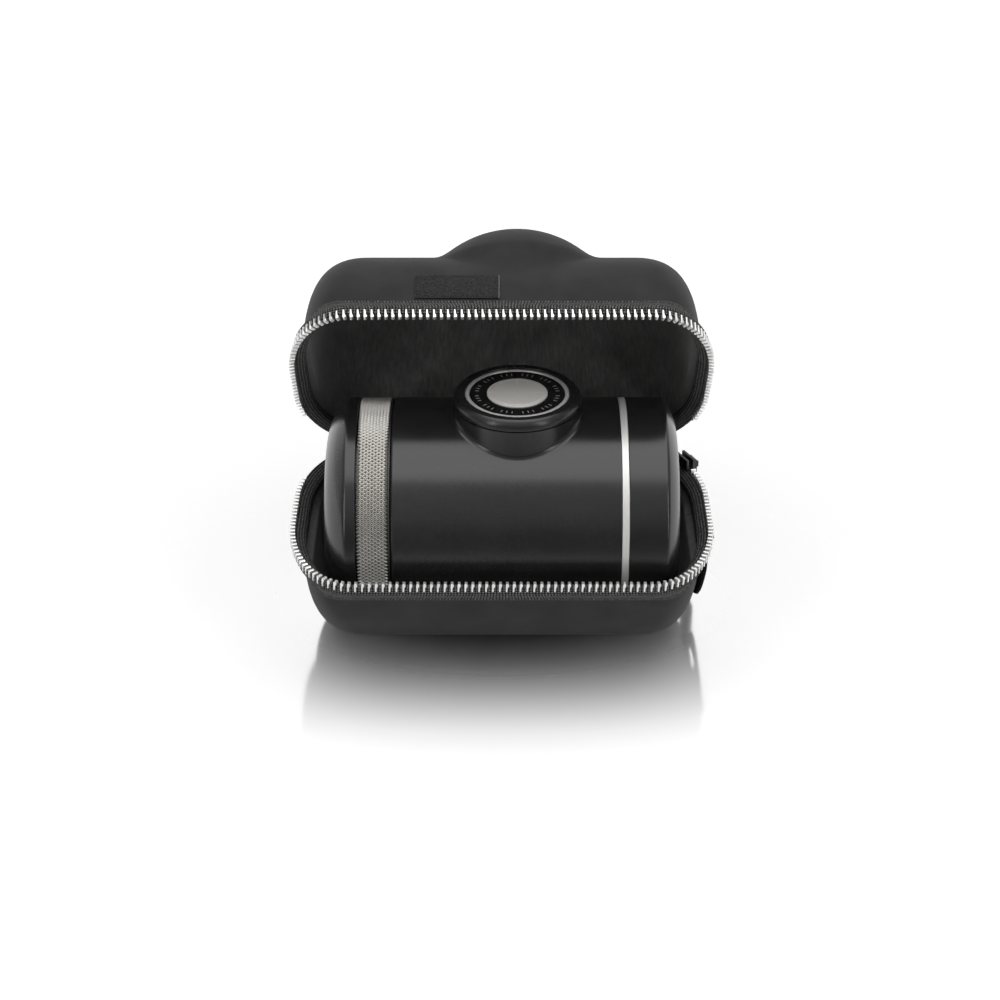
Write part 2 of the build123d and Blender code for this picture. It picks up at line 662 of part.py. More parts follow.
# ---------------------------------------------------------------- base
with BuildPart() as case_base_shell:
    case_skin(BASE, -1, BASE_HALF, 0, tape_foot + SEAT)
    case_skin(BASE, -1, BASE_HALF, tape_inset, LIP_DROP, tape_foot + 2 * SEAT)
    case_skin(BASE, -1, BASE_HALF, BASE_WALL, LIP_DROP, mode=Mode.SUBTRACT)
save(case_base_shell, "case_base_shell")

with BuildPart() as base_lining:
    case_skin(BASE, -1, BASE_HALF, BASE_LINING_INSET, LINING_DROP)
    case_skin(BASE, -1, BASE_HALF, BASE_LINING_INSET + LINING, LINING_DROP, mode=Mode.SUBTRACT)
save(base_lining, "base_lining")

with BuildPart() as base_zip_tape:
    case_skin(BASE, -1, BASE_HALF, 0, TAPE_EDGE, tape_foot)
    case_skin(BASE, -1, BASE_HALF, TAPE, TAPE_EDGE, tape_foot, mode=Mode.SUBTRACT)
save(base_zip_tape, "base_zip_tape")

with BuildPart() as base_zip_teeth:
    zip_teeth(BASE, -1, 0.25)
save(base_zip_teeth, "base_zip_teeth")

with BuildPart() as hinge_strip:
    case_skin(BASE, -1, BASE_HALF, -GLUE - STRIP_THICKNESS, STRIP_TOP, STRIP_FOOT)
    case_skin(BASE, -1, BASE_HALF, -GLUE, STRIP_TOP, STRIP_FOOT, mode=Mode.SUBTRACT)
    with Locations(BASE.location):
        Box(
            2 * STRIP_HALF_LENGTH, 2 * RIM_DEPTH, 2 * BASE_HEIGHT, mode=Mode.INTERSECT,
            align=(Align.CENTER, Align.MIN, Align.CENTER),
        )
    with BuildSketch(Plane(origin=(0, HINGE_Y, RIM_Z), x_dir=(0, 1, 0), z_dir=(1, 0, 0))):
        Circle(BEAD_RADIUS)
        with BuildLine():
            strip_inside = GLUE - HINGE_GAP
            Polyline(
                (strip_inside, -STRIP_TOP), (strip_inside + STRIP_THICKNESS, -STRIP_TOP),
                (BEAD_RADIUS * 2 / 3, -BEAD_RADIUS * 2 / 3), (strip_inside, -BEAD_RADIUS / 2),
                close=True,
            )
        make_face()
    extrude(amount=BEAD_HALF_LENGTH, both=True)
save(hinge_strip, "hinge_strip")

# ---------------------------------------------------------------- lid
with BuildPart() as case_lid_shell:
    case_skin(LID, 1, LID_HALF, 0, tape_foot + SEAT)
    case_skin(LID, 1, LID_HALF, tape_inset, LIP_DROP, tape_foot + 2 * SEAT)
    dome_bump(LID, 0)
    case_skin(LID, 1, LID_HALF, LID_WALL, LIP_DROP, mode=Mode.SUBTRACT)
    dome_bump(LID, DOME_WALL, mode=Mode.SUBTRACT)
save(case_lid_shell, "case_lid_shell")

with BuildPart() as lid_lining:
    case_skin(LID, 1, LID_HALF, LID_LINING_INSET, LINING_DROP)
    dome_bump(LID, DOME_LINING_INSET)
    case_skin(LID, 1, LID_HALF, LID_LINING_INSET + LID_LINING, LINING_DROP, mode=Mode.SUBTRACT)
    dome_bump(LID, DOME_LINING_INSET + LID_LINING, mode=Mode.SUBTRACT)
save(lid_lining, "lid_lining")

with BuildPart() as lid_zip_tape:
    case_skin(LID, 1, LID_HALF, 0, TAPE_EDGE, tape_foot)
    case_skin(LID, 1, LID_HALF, TAPE, TAPE_EDGE, tape_foot, mode=Mode.SUBTRACT)
save(lid_zip_tape, "lid_zip_tape")

with BuildPart() as lid_zip_teeth:
    zip_teeth(LID, 1, 0.75)
save(lid_zip_teeth, "lid_zip_teeth")

with BuildPart() as woven_label:
    label_inner = LID_RADIUS + LABEL_GAP
    label_outer = label_inner + LABEL_THICKNESS
    label_plane = Plane(
        origin=LID.offset(RIM_DROP).origin + Vector(LABEL_LEFT, 0, 0),
        x_dir=LID.y_dir, z_dir=(1, 0, 0),
    )
    with BuildSketch(label_plane):
        Circle(label_outer)
        Circle(label_inner, mode=Mode.SUBTRACT)
        with BuildLine():
            reach = 2 * LID_RADIUS
            Polyline(
                (0, 0),
                (-reach * cos(radians(LABEL_LOW)), reach * sin(radians(LABEL_LOW))),
                (-reach * cos(radians(LABEL_HIGH)), reach * sin(radians(LABEL_HIGH))),
                close=True,
            )
        make_face(mode=Mode.INTERSECT)
    extrude(amount=LABEL_RIGHT - LABEL_LEFT)
save(woven_label, "woven_label")

# ---------------------------------------------------------------- loop on the end wall
with BuildPart() as side_loop:
    loop_top_x = case_size(LOOP_TOP, BASE_HALF, 0)[0] + LOOP_CLEARANCE
    loop_bend_x = case_size(LOOP_BEND, BASE_HALF, 0)[0] + LOOP_CLEARANCE
    loop_middle_x = case_size(LOOP_MIDDLE, BASE_HALF, 0)[0] + LOOP_CLEARANCE
    loop_foot_x = case_size(LOOP_FOOT, BASE_HALF, 0)[0] + 3 * LOOP_CLEARANCE
    with BuildSketch(Plane(origin=(0, 0, RIM_Z), x_dir=(1, 0, 0), z_dir=(0, -1, 0))):
        with BuildLine():
            Polyline(
                (loop_top_x, -LOOP_TOP), (loop_bend_x, -LOOP_BEND),
                (loop_middle_x, -LOOP_MIDDLE), (loop_foot_x, -LOOP_FOOT),
                (loop_foot_x + LOOP_THICKNESS, -LOOP_FOOT),
                (loop_middle_x + LOOP_THICKNESS, -LOOP_MIDDLE),
                (loop_bend_x + LOOP_THICKNESS, -LOOP_BEND),
                (loop_top_x + LOOP_THICKNESS, -LOOP_TOP), close=True,
            )
        make_face()
    extrude(amount=LOOP_WIDTH / 2, both=True)
    foot_corners = side_loop.edges().filter_by(Axis.X).group_by(Axis.Z)[0]
    fillet(foot_corners, LOOP_CORNER)
save(side_loop, "side_loop")

# ---------------------------------------------------------------- zip slider and its pull
rim_length, rim_depth, rim_corner_x, rim_corner_y = case_size(0, BASE_HALF, TAPE / 2)
slider_turn = radians(asin_degrees((SLIDER_Y - rim_depth + rim_corner_y) / rim_corner_y))
slider_spot = Vector(
    rim_length - rim_corner_x + rim_corner_x * cos(slider_turn), SLIDER_Y, RIM_Z)
slider_normal = Vector(rim_corner_y * cos(slider_turn), rim_corner_x * sin(slider_turn), 0)
SLIDER = Plane(
    origin=slider_spot, x_dir=Vector(0, 0, 1).cross(slider_normal), z_dir=slider_normal)
plate_middle = (SLIDER_SLOT + SLIDER_PLATE) / 2
pin_height = plate_middle + SLIDER_PLATE / 2 + 3 * PULL_PIN
post_place = (SLIDER_LENGTH - SLIDER_POST) / 2
ear_place = (PULL_EYE_WIDTH + SLIDER_EAR) / 2 + SEAT

with BuildPart() as zip_slider:
    with Locations(SLIDER.location * Pos(0, 0, plate_middle),
                   SLIDER.location * Pos(0, 0, -plate_middle)):
        Box(SLIDER_LENGTH, SLIDER_HEIGHT, SLIDER_PLATE)
    with Locations(SLIDER.location * Pos(post_place, 0, 0)):
        Box(SLIDER_POST, TAPE_EDGE, 2 * plate_middle)
    with Locations(SLIDER.location * Pos(ear_place, 0, plate_middle),
                   SLIDER.location * Pos(-ear_place, 0, plate_middle)):
        Box(SLIDER_EAR, 4 * PULL_PIN, pin_height + PULL_PIN - plate_middle,
            align=(Align.CENTER, Align.CENTER, Align.MIN))
    with Locations(SLIDER.location * Pos(0, 0, pin_height) * Rot(0, 90, 0)):
        Cylinder(PULL_PIN, 2 * ear_place)
save(zip_slider, "zip_slider")

with BuildPart() as zip_pull:
    with BuildSketch(Plane(SLIDER.location * Pos(0, 0, pin_height) * Rot(0, 90, 0))):
        Circle(PULL_PIN * 2)
        with Locations((0, -PULL_LENGTH / 2)):
            Rectangle(PULL_THICKNESS, PULL_LENGTH)
        Circle(PULL_PIN + RUNNING, mode=Mode.SUBTRACT)
    extrude(amount=PULL_EYE_WIDTH / 2, both=True)
    with Locations(SLIDER.location * Pos(0, -PULL_LENGTH * 0.6, pin_height)):
        Box(PULL_WIDTH, PULL_LENGTH * 0.8, PULL_THICKNESS)
    outward = Axis(SLIDER.origin, SLIDER.z_dir)
    fillet(zip_pull.edges().filter_by(outward).group_by(Axis.Z)[0], PULL_WIDTH / 3)
save(zip_pull, "zip_pull")
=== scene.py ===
# %% [markdown]
# # Dressing a hand espresso maker in its zip case
# The CAD model arrives as a fixed frame: every rigid piece has its true size and place, and
# every body of the mechanism has a name. Nothing is ever moved here. This lesson gives the
# pieces their finish, and builds the parts that a CAD program says only roughly: moulded
# fabric, woven tape, a brushed lining, zip teeth, knurling and stitches.

# %% Load the fixed frame
import json
from math import cos, hypot, pi, radians, sin, sqrt

import bmesh
import bpy
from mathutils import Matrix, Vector


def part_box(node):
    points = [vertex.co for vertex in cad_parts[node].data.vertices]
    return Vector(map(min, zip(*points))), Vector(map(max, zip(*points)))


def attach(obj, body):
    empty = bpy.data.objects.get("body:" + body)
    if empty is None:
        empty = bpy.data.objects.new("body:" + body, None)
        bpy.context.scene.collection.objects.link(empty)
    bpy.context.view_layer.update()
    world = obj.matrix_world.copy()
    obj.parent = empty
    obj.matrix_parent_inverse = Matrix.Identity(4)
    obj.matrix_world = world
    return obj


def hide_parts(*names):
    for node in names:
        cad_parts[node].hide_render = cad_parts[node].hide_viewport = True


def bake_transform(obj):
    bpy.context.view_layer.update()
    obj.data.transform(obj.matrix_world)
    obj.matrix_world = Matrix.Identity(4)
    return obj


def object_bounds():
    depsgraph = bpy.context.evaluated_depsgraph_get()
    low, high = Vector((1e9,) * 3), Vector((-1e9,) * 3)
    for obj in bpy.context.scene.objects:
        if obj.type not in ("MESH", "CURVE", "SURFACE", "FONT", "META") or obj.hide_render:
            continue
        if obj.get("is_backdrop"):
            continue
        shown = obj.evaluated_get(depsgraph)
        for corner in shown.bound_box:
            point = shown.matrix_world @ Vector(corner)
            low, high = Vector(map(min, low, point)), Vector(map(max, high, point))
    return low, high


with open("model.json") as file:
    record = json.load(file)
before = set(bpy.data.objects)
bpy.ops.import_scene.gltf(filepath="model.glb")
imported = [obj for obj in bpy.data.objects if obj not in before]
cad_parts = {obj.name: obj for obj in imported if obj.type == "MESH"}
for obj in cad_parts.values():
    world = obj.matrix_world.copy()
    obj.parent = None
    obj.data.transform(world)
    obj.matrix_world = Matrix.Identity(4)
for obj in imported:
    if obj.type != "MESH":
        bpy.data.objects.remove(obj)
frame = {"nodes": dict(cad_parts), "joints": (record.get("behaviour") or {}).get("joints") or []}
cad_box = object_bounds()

MM = 0.001
nodes = frame["nodes"]

# %% [markdown]
# ## Camera
# A product shot of this kind is taken from about 30 degrees above the table with a long
# lens, so that the cylinder of the maker keeps straight, nearly parallel edges. A short lens
# close by would make the near rim of the case look much wider than the far one.

# %% Camera
CAMERA_PLACE = (-0.0005, -0.6144, 0.4020)
CAMERA_TILT = radians(59.61)
CAMERA_LENS = 82.0
CAMERA_NEAR = 0.01

camera_data = bpy.data.cameras.new("camera")
camera_data.lens = CAMERA_LENS
camera_data.clip_start = CAMERA_NEAR
camera = bpy.data.objects.new("camera", camera_data)
camera.location = CAMERA_PLACE
camera.rotation_euler = (CAMERA_TILT, 0, 0)
scene = bpy.context.scene
scene.collection.objects.link(camera)
scene.camera = camera
scene.view_settings.view_transform = "Standard"
print("camera lens", camera_data.lens)

# %% [markdown]
# ## Node helpers
# Every finish below is a small node tree. A few helpers keep the trees readable: one adds a
# node with its settings, one starts a tree with named sockets, one starts a material, and the
# rest stand for the nodes that turn up most.


# %% Node helpers
def add_node(tree, kind, inputs=None, **settings):
    """A node of that kind, with its settings, and inputs given as {name or index: value}."""
    node = tree.nodes.new(kind)
    for key, value in settings.items():
        setattr(node, key, value)
    for key, value in (inputs or {}).items():
        if isinstance(value, bpy.types.NodeSocket):
            tree.links.new(value, node.inputs[key])
        else:
            node.inputs[key].default_value = value
    return node


def node_out(tree, kind, output, **settings):
    """One output socket of a new node, by name or index."""
    return add_node(tree, kind, **settings).outputs[output]


def math_node(tree, operation, first, second=0.0):
    """The value socket of a Math node over two values or sockets."""
    return node_out(tree, "ShaderNodeMath", 0, operation=operation, inputs={0: first, 1: second})


def plus(tree, first, second):
    """The sum of two values or sockets."""
    return math_node(tree, "ADD", first, second)


def product(tree, first, *others):
    """Values or sockets multiplied in turn."""
    for other in others:
        first = math_node(tree, "MULTIPLY", first, other)
    return first


def vector_of(tree, x, y, z=0.0):
    """A vector from three values or sockets."""
    return node_out(tree, "ShaderNodeCombineXYZ", "Vector", inputs={"X": x, "Y": y, "Z": z})


# %% Nodes that turn up most
def remap(tree, value, source, target=(0.0, 1.0), **settings):
    """A value carried from the source range over to the target range."""
    return node_out(tree, "ShaderNodeMapRange", "Result", inputs={
        "Value": value, "From Min": source[0], "From Max": source[1],
        "To Min": target[0], "To Max": target[1]}, **settings)


def noise(tree, vector, scale, detail, roughness=0.5):
    """The value of a Noise Texture."""
    return node_out(tree, "ShaderNodeTexNoise", "Fac", inputs={
        "Vector": vector, "Scale": scale, "Detail": detail, "Roughness": roughness})


def axes_of(tree, vector):
    """The X, Y and Z sockets of a vector."""
    return add_node(tree, "ShaderNodeSeparateXYZ", inputs={"Vector": vector}).outputs


# %% Trees with named sockets
def start_tree(kind, name, inputs, outputs):
    """An empty tree with named sockets, as {name: (type, default)} and {name: type}."""
    tree = bpy.data.node_groups.new(name, kind)
    for socket_name, (socket_kind, default) in inputs.items():
        socket = tree.interface.new_socket(socket_name, in_out="INPUT",
                                           socket_type="NodeSocket" + socket_kind)
        if default is not None:
            socket.default_value = default
    for socket_name, socket_kind in outputs.items():
        tree.interface.new_socket(socket_name, in_out="OUTPUT",
                                  socket_type="NodeSocket" + socket_kind)
    entry = tree.nodes.new("NodeGroupInput")
    leave = tree.nodes.new("NodeGroupOutput")
    return tree, entry.outputs, leave.inputs


# %% Material helpers
def start_material(name, roughness, **constants):
    """A material with its tree, its Principled BSDF and the piece's own coordinates."""
    material = bpy.data.materials.new(name)
    material.use_nodes = True
    tree = material.node_tree
    shader = tree.nodes["Principled BSDF"]
    shader.inputs["Roughness"].default_value = roughness
    for socket_name, value in constants.items():
        shader.inputs[socket_name.replace("_", " ")].default_value = value
    place = add_node(tree, "ShaderNodeTexCoord")
    return material, tree, shader, place.outputs


def place_group(tree, group, **inputs):
    """The outputs of a shader group that is put in a tree, with its inputs given by name."""
    return add_node(tree, "ShaderNodeGroup", node_tree=group, inputs=inputs).outputs


# %% Colour, relief and roughness
def tint(tree, shader, factor, dark, light):
    """Base colour that runs from dark to light with a factor."""
    ramp = add_node(tree, "ShaderNodeValToRGB", inputs={"Fac": factor})
    ramp.color_ramp.elements[0].color = (*dark, 1)
    ramp.color_ramp.elements[1].color = (*light, 1)
    tree.links.new(ramp.outputs["Color"], shader.inputs["Base Color"])


def shades(colour, factors):
    """The same colour made darker and lighter by two factors."""
    return [[factor * part for part in colour] for factor in factors]


def spread(middle, offsets):
    """Two values at given distances from a middle one."""
    return [middle + offset for offset in offsets]


def raise_surface(tree, shader, height, strength, distance):
    """Fine relief from a height, through a Bump node."""
    normal = node_out(tree, "ShaderNodeBump", "Normal",
                      inputs={"Height": height, "Strength": strength, "Distance": distance})
    tree.links.new(normal, shader.inputs["Normal"])


def vary_roughness(tree, shader, factor, low, high):
    """Roughness that runs from low to high with a factor."""
    tree.links.new(remap(tree, factor, (0.0, 1.0), (low, high)), shader.inputs["Roughness"])


# %% [markdown]
# ## Shared effects
# Four effects turn up in more than one finish. *Grain* is the fine orange-peel of moulded
# plastic and of knit. *Weave* is over-and-under threads on a piece's UV map, which is laid out
# in metres. *Spun* is the set of fine rings that a lathe leaves. *Edge wear* finds the sharp
# edges, where a finish is first rubbed bright.

# %% Group: grain
MOTTLE_SCALE = 90.0              # patches of about a centimetre


def build_grain():
    """Fine height of a given size, and a broad mottle."""
    tree, given, result = start_tree(
        "ShaderNodeTree", "grain", {"Vector": ("Vector", None), "Size": ("Float", 0.3 * MM)},
        {"Height": "Float", "Mottle": "Float"})
    scale = math_node(tree, "DIVIDE", 1.0, given["Size"])
    tree.links.new(noise(tree, given["Vector"], scale, detail=2.0), result["Height"])
    tree.links.new(noise(tree, given["Vector"], MOTTLE_SCALE, detail=3.0), result["Mottle"])
    return tree


grain = build_grain()

# %% Group: weave
THREAD_ROUNDNESS = 0.6           # below 1 flattens the top of a thread


def build_weave():
    """Height of plain weave, and the gap between its threads."""
    tree, given, result = start_tree(
        "ShaderNodeTree", "weave", {"Vector": ("Vector", None), "Thread": ("Float", 0.5 * MM)},
        {"Height": "Float", "Gap": "Float"})
    split = axes_of(tree, given["Vector"])
    across, along = [math_node(tree, "DIVIDE", split[axis], given["Thread"]) for axis in "XY"]
    squares = plus(tree, math_node(tree, "FLOOR", across), math_node(tree, "FLOOR", along))
    over = math_node(tree, "FLOORED_MODULO", squares, 2.0)
    warp, weft = [math_node(tree, "ABSOLUTE", math_node(tree, "SINE", product(tree, way, pi)))
                  for way in (across, along)]
    thread = node_out(tree, "ShaderNodeMix", 0, inputs={"Factor": over, 2: warp, 3: weft})
    tree.links.new(math_node(tree, "POWER", thread, THREAD_ROUNDNESS), result["Height"])
    tree.links.new(math_node(tree, "SUBTRACT", 1.0, product(tree, warp, weft)), result["Gap"])
    return tree


weave = build_weave()

# %% Group: spun
SPUN_SCALE = 6000.0              # rings a sixth of a millimetre apart


def build_spun():
    """Height of lathe marks: the same all the way round, uneven along and across the axis."""
    tree, given, result = start_tree(
        "ShaderNodeTree", "spun", {"Along": ("Float", 0.0), "Radius": ("Float", 0.0)},
        {"Height": "Float"})
    ring = vector_of(tree, given["Along"], given["Radius"])
    tree.links.new(noise(tree, ring, SPUN_SCALE, detail=3.0, roughness=0.7), result["Height"])
    return tree


spun = build_spun()

# %% Group: edge wear
SHARP_EDGE = (0.52, 0.62)        # pointiness where wear starts and where it is complete
PATCH_SCALE = 420.0


def build_edge_wear():
    """Mask of the sharp edges, broken up into patches."""
    tree, given, result = start_tree(
        "ShaderNodeTree", "edge_wear", {"Vector": ("Vector", None), "Amount": ("Float", 0.5)},
        {"Mask": "Float"})
    edge = remap(tree, node_out(tree, "ShaderNodeNewGeometry", "Pointiness"), SHARP_EDGE)
    patches = noise(tree, given["Vector"], PATCH_SCALE, detail=4.0)
    tree.links.new(product(tree, edge, patches, given["Amount"]), result["Mask"])
    return tree


edge_wear = build_edge_wear()
print("groups", [group.name for group in bpy.data.node_groups])

# %% [markdown]
# ## Hard finishes
# The maker is moulded in a near-black plastic with a satin skin. Its colour is almost all
# reflection, so the base colour is very dark and the roughness carries the look: a soft
# highlight with a readable edge. The metal parts are turned or brushed steel, and their lathe
# marks run round their own axis, which is given to the *Spun* group as a radius.

# %% Axes of the maker and of its pump
AXIS_HEIGHT = (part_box("main_body")[0].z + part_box("steel_band")[1].z) / 2
knob_low, knob_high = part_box("piston_knob")
KNOB_X = (knob_low.x + knob_high.x) / 2
print("maker axis height", round(AXIS_HEIGHT, 4), "knob at", round(KNOB_X, 4))


# %% Plastic
PLASTIC_GRAIN = 0.12 * MM
PLASTIC_MOTTLE = 0.35            # share of the mottle in the colour
PLASTIC_SHADES = (0.7, 2.6)      # darkest and lightest, as shares of the written colour
PLASTIC_SPREAD = (-0.04, 0.05)   # of the roughness, with the mottle
PLASTIC_RELIEF = 0.02 * MM
PLASTIC_WEAR = 0.5


def moulded_plastic(name, shade, roughness, relief, grain_size=PLASTIC_GRAIN):
    """Satin moulded plastic: dark, faintly mottled, with a fine grain and rubbed edges."""
    material, tree, shader, place = start_material(name, roughness, Specular_IOR_Level=0.55)
    fine = place_group(tree, grain, Vector=place["Object"], Size=grain_size)
    worn = place_group(tree, edge_wear, Vector=place["Object"], Amount=PLASTIC_WEAR)
    tone = plus(tree, product(tree, fine["Mottle"], PLASTIC_MOTTLE), worn["Mask"])
    tint(tree, shader, tone, *shades(shade, PLASTIC_SHADES))
    vary_roughness(tree, shader, fine["Mottle"], *spread(roughness, PLASTIC_SPREAD))
    raise_surface(tree, shader, fine["Height"], relief, PLASTIC_RELIEF)
    return material


# name, colour, roughness, relief and, for the inner parts, a coarser grain
body_plastic = moulded_plastic("body_plastic", (0.0125, 0.0125, 0.0125), 0.22, 0.35)
cap_plastic = moulded_plastic("cap_plastic", (0.0125, 0.0125, 0.0128), 0.23, 0.35)
knob_plastic = moulded_plastic("knob_plastic", (0.012, 0.012, 0.0125), 0.27, 0.3)
inner_plastic = moulded_plastic("inner_plastic", (0.02, 0.02, 0.021), 0.45, 0.5, 0.2 * MM)
print("plastic finishes", len(bpy.data.materials))


# %% Steel
STEEL_GRAIN = 0.4 * MM
STEEL_MARKS = 0.6                # share of the lathe marks in the colour
STEEL_SHADES = (0.8, 1.15)
STEEL_SPREAD = (-0.05, 0.07)
STEEL_RELIEF = 0.01 * MM
METAL_WEAR = 0.6


def spun_steel(name, shade, roughness, axis, relief=0.25, metal=1.0):
    """Steel with lathe marks round axis, which is "X" for the maker and "Z" for its pump."""
    material, tree, shader, place = start_material(name, roughness, Metallic=metal)
    centre, others = {"X": ((0, 0, -AXIS_HEIGHT), "YZ"), "Z": ((-KNOB_X, 0, 0), "XY")}[axis]
    split = axes_of(tree, node_out(tree, "ShaderNodeMapping", "Vector", inputs={
        "Vector": place["Object"], "Location": centre}))
    square = [math_node(tree, "POWER", split[other], 2.0) for other in others]
    radius = math_node(tree, "SQRT", plus(tree, *square))
    marks = place_group(tree, spun, Along=split[axis], Radius=radius)
    worn = place_group(tree, edge_wear, Vector=place["Object"], Amount=METAL_WEAR)
    fine = place_group(tree, grain, Vector=place["Object"], Size=STEEL_GRAIN)
    tone = plus(tree, product(tree, marks["Height"], STEEL_MARKS), worn["Mask"])
    tint(tree, shader, tone, *shades(shade, STEEL_SHADES))
    vary_roughness(tree, shader, fine["Mottle"], *spread(roughness, STEEL_SPREAD))
    raise_surface(tree, shader, marks["Height"], relief, STEEL_RELIEF)
    return material


# name, colour, roughness and axis
band_steel = spun_steel("band_steel", (0.88, 0.87, 0.85), 0.42, "X", metal=0.4)
knurl_steel = spun_steel("knurl_steel", (0.66, 0.645, 0.61), 0.3, "X", relief=0.1, metal=0.8)
# near-black steel for the grip's core: painted shade in the valleys between the diamonds
valley_shade_steel = spun_steel("valley_shade_steel", (0.11, 0.105, 0.1), 0.5, "X", relief=0.1)
inner_steel = spun_steel("inner_steel", (0.56, 0.55, 0.53), 0.3, "X")
pump_steel = spun_steel("pump_steel", (0.6, 0.59, 0.58), 0.22, "Z")
badge_steel = spun_steel("badge_steel", (0.93, 0.91, 0.87), 0.5, "Z", relief=0.45, metal=0.25)
bezel_steel = spun_steel("bezel_steel", (0.92, 0.91, 0.89), 0.4, "Z", relief=0.1, metal=0.5)
print("plastic and steel finishes", len(bpy.data.materials))


# %% Plated zinc
ZINC_SPREAD = (-0.06, 0.08)


def plated_zinc(name, dark, light, roughness):
    """Plated zinc of the zip: a little uneven, and rubbed bright on its edges."""
    material, tree, shader, place = start_material(name, roughness, Metallic=0.9)
    fine = place_group(tree, grain, Vector=place["Object"], Size=0.5 * MM)
    worn = place_group(tree, edge_wear, Vector=place["Object"], Amount=METAL_WEAR)
    tint(tree, shader, plus(tree, fine["Mottle"], worn["Mask"]), dark, light)
    vary_roughness(tree, shader, fine["Height"], *spread(roughness, ZINC_SPREAD))
    return material


# name, darkest and lightest colour, roughness
zip_zinc = plated_zinc("zip_zinc", (0.74, 0.74, 0.74), (0.95, 0.95, 0.94), 0.36)
gunmetal = plated_zinc("gunmetal", (0.03, 0.03, 0.031), (0.07, 0.07, 0.07), 0.45)


# %% Rubber and print
def seal_rubber():
    """Black rubber: matt, with a dusty bloom."""
    material, tree, shader, place = start_material("seal_rubber", roughness=0.7,
                                                   Specular_IOR_Level=0.35)
    fine = place_group(tree, grain, Vector=place["Object"], Size=0.25 * MM)
    tint(tree, shader, fine["Mottle"], dark=(0.012, 0.012, 0.012), light=(0.035, 0.035, 0.034))
    raise_surface(tree, shader, fine["Height"], strength=0.5, distance=0.03 * MM)
    return material


def dial_print():
    """Glossy dark print under the pressed ring of the knob."""
    material, tree, shader, place = start_material("dial_print", roughness=0.12, Coat_Weight=0.6,
                                                   Coat_Roughness=0.08)
    fine = place_group(tree, grain, Vector=place["Object"], Size=0.2 * MM)
    tint(tree, shader, fine["Mottle"], dark=(0.004, 0.004, 0.004), light=(0.011, 0.011, 0.012))
    vary_roughness(tree, shader, fine["Height"], low=0.1, high=0.2)
    return material


def tick_print():
    """Pale grey ink of the plain ticks."""
    material, tree, shader, place = start_material("tick_print", roughness=0.45)
    fine = place_group(tree, grain, Vector=place["Object"], Size=0.15 * MM)
    tint(tree, shader, fine["Height"], dark=(0.26, 0.26, 0.26), light=(0.42, 0.42, 0.41))
    return material


rubber = seal_rubber()
dial_ink = dial_print()
tick_ink = tick_print()
print("hard finishes", len(bpy.data.materials))


# %% [markdown]
# ## Soft finishes
# The case is moulded foam under a tight knit, so its skin is smooth from afar and shows only
# a fine, soft grain up close. The zip tape is a plain weave, the inside is brushed fleece
# whose pile was combed one way in the mould, and the label is a weave of much finer threads.
# A little sheen on each gives the pale fringe that fibres show at a grazing angle.

# %% Knit skin of the shells
KNIT_MOTTLE, KNIT_LOOPS = 0.7, 0.3       # shares of the colour


def knit_skin():
    """Tight dark knit over foam, a little mottled."""
    material, tree, shader, place = start_material(
        "knit_skin", roughness=0.62, Specular_IOR_Level=0.1, Sheen_Weight=0.04,
        Sheen_Roughness=0.4)
    fine = place_group(tree, grain, Vector=place["Object"], Size=0.16 * MM)
    loops = place_group(tree, weave, Vector=place["UV"], Thread=0.22 * MM)
    tone = plus(tree, product(tree, fine["Mottle"], KNIT_MOTTLE),
                product(tree, loops["Height"], KNIT_LOOPS))
    tint(tree, shader, tone, dark=(0.014, 0.014, 0.014), light=(0.052, 0.052, 0.052))
    vary_roughness(tree, shader, fine["Height"], low=0.55, high=0.7)
    relief = plus(tree, fine["Height"], loops["Height"])
    raise_surface(tree, shader, relief, strength=0.35, distance=0.03 * MM)
    return material


# %% Woven tape
# painted light: highlights on the thread crowns, shade in the gaps, glints on the fibres
CROWN_HIGHLIGHT_PEAK = 1.5                # above 1 draws the light to the middle of a thread
GLINT_PEAK, GLINT_BRIGHTNESS = 3.0, 6.0


def woven(name, thread, dark, light, relief):
    """Plain weave on the UV map: painted shade in the gaps, painted glints on the threads."""
    material, tree, shader, place = start_material(
        name, roughness=0.85, Specular_IOR_Level=0.08, Sheen_Weight=0.05, Sheen_Roughness=0.5)
    cloth = place_group(tree, weave, Vector=place["UV"], Thread=thread)
    fine = place_group(tree, grain, Vector=place["Object"], Size=0.35 * MM)
    # painted highlight on the crown of each thread, and painted shade in the gaps
    middle = math_node(tree, "POWER", math_node(tree, "SUBTRACT", 1.0, cloth["Gap"]),
                       CROWN_HIGHLIGHT_PEAK)
    # painted glints: bright specks of sheen on the fibres
    painted_glints = product(tree, math_node(tree, "POWER", fine["Height"], GLINT_PEAK), GLINT_BRIGHTNESS)
    tint(tree, shader, product(tree, middle, painted_glints), dark, light)
    raise_surface(tree, shader, cloth["Height"], strength=relief, distance=0.12 * MM)
    return material


# %% Brushed fleece
PILE_SCALE = 1500.0
PILE_STRETCH = (1.0, 0.14, 1.0)
PILE_LIFT = 0.45                 # keeps the dark patches of the mottle from going black


def brushed_fleece():
    """Fleece with its pile combed one way: streaks along the second UV axis."""
    material, tree, shader, place = start_material(
        "brushed_fleece", roughness=0.95, Specular_IOR_Level=0.12, Sheen_Weight=0.3,
        Sheen_Roughness=0.6)
    combed = node_out(tree, "ShaderNodeMapping", "Vector",
                      inputs={"Vector": place["UV"], "Scale": PILE_STRETCH})
    pile = noise(tree, combed, PILE_SCALE, detail=4.0, roughness=0.7)
    fine = place_group(tree, grain, Vector=place["Object"], Size=0.5 * MM)
    tone = product(tree, pile, plus(tree, fine["Mottle"], PILE_LIFT))
    tint(tree, shader, tone, dark=(0.006, 0.006, 0.006), light=(0.24, 0.24, 0.235))
    raise_surface(tree, shader, pile, strength=0.8, distance=0.25 * MM)
    return material


knit = knit_skin()
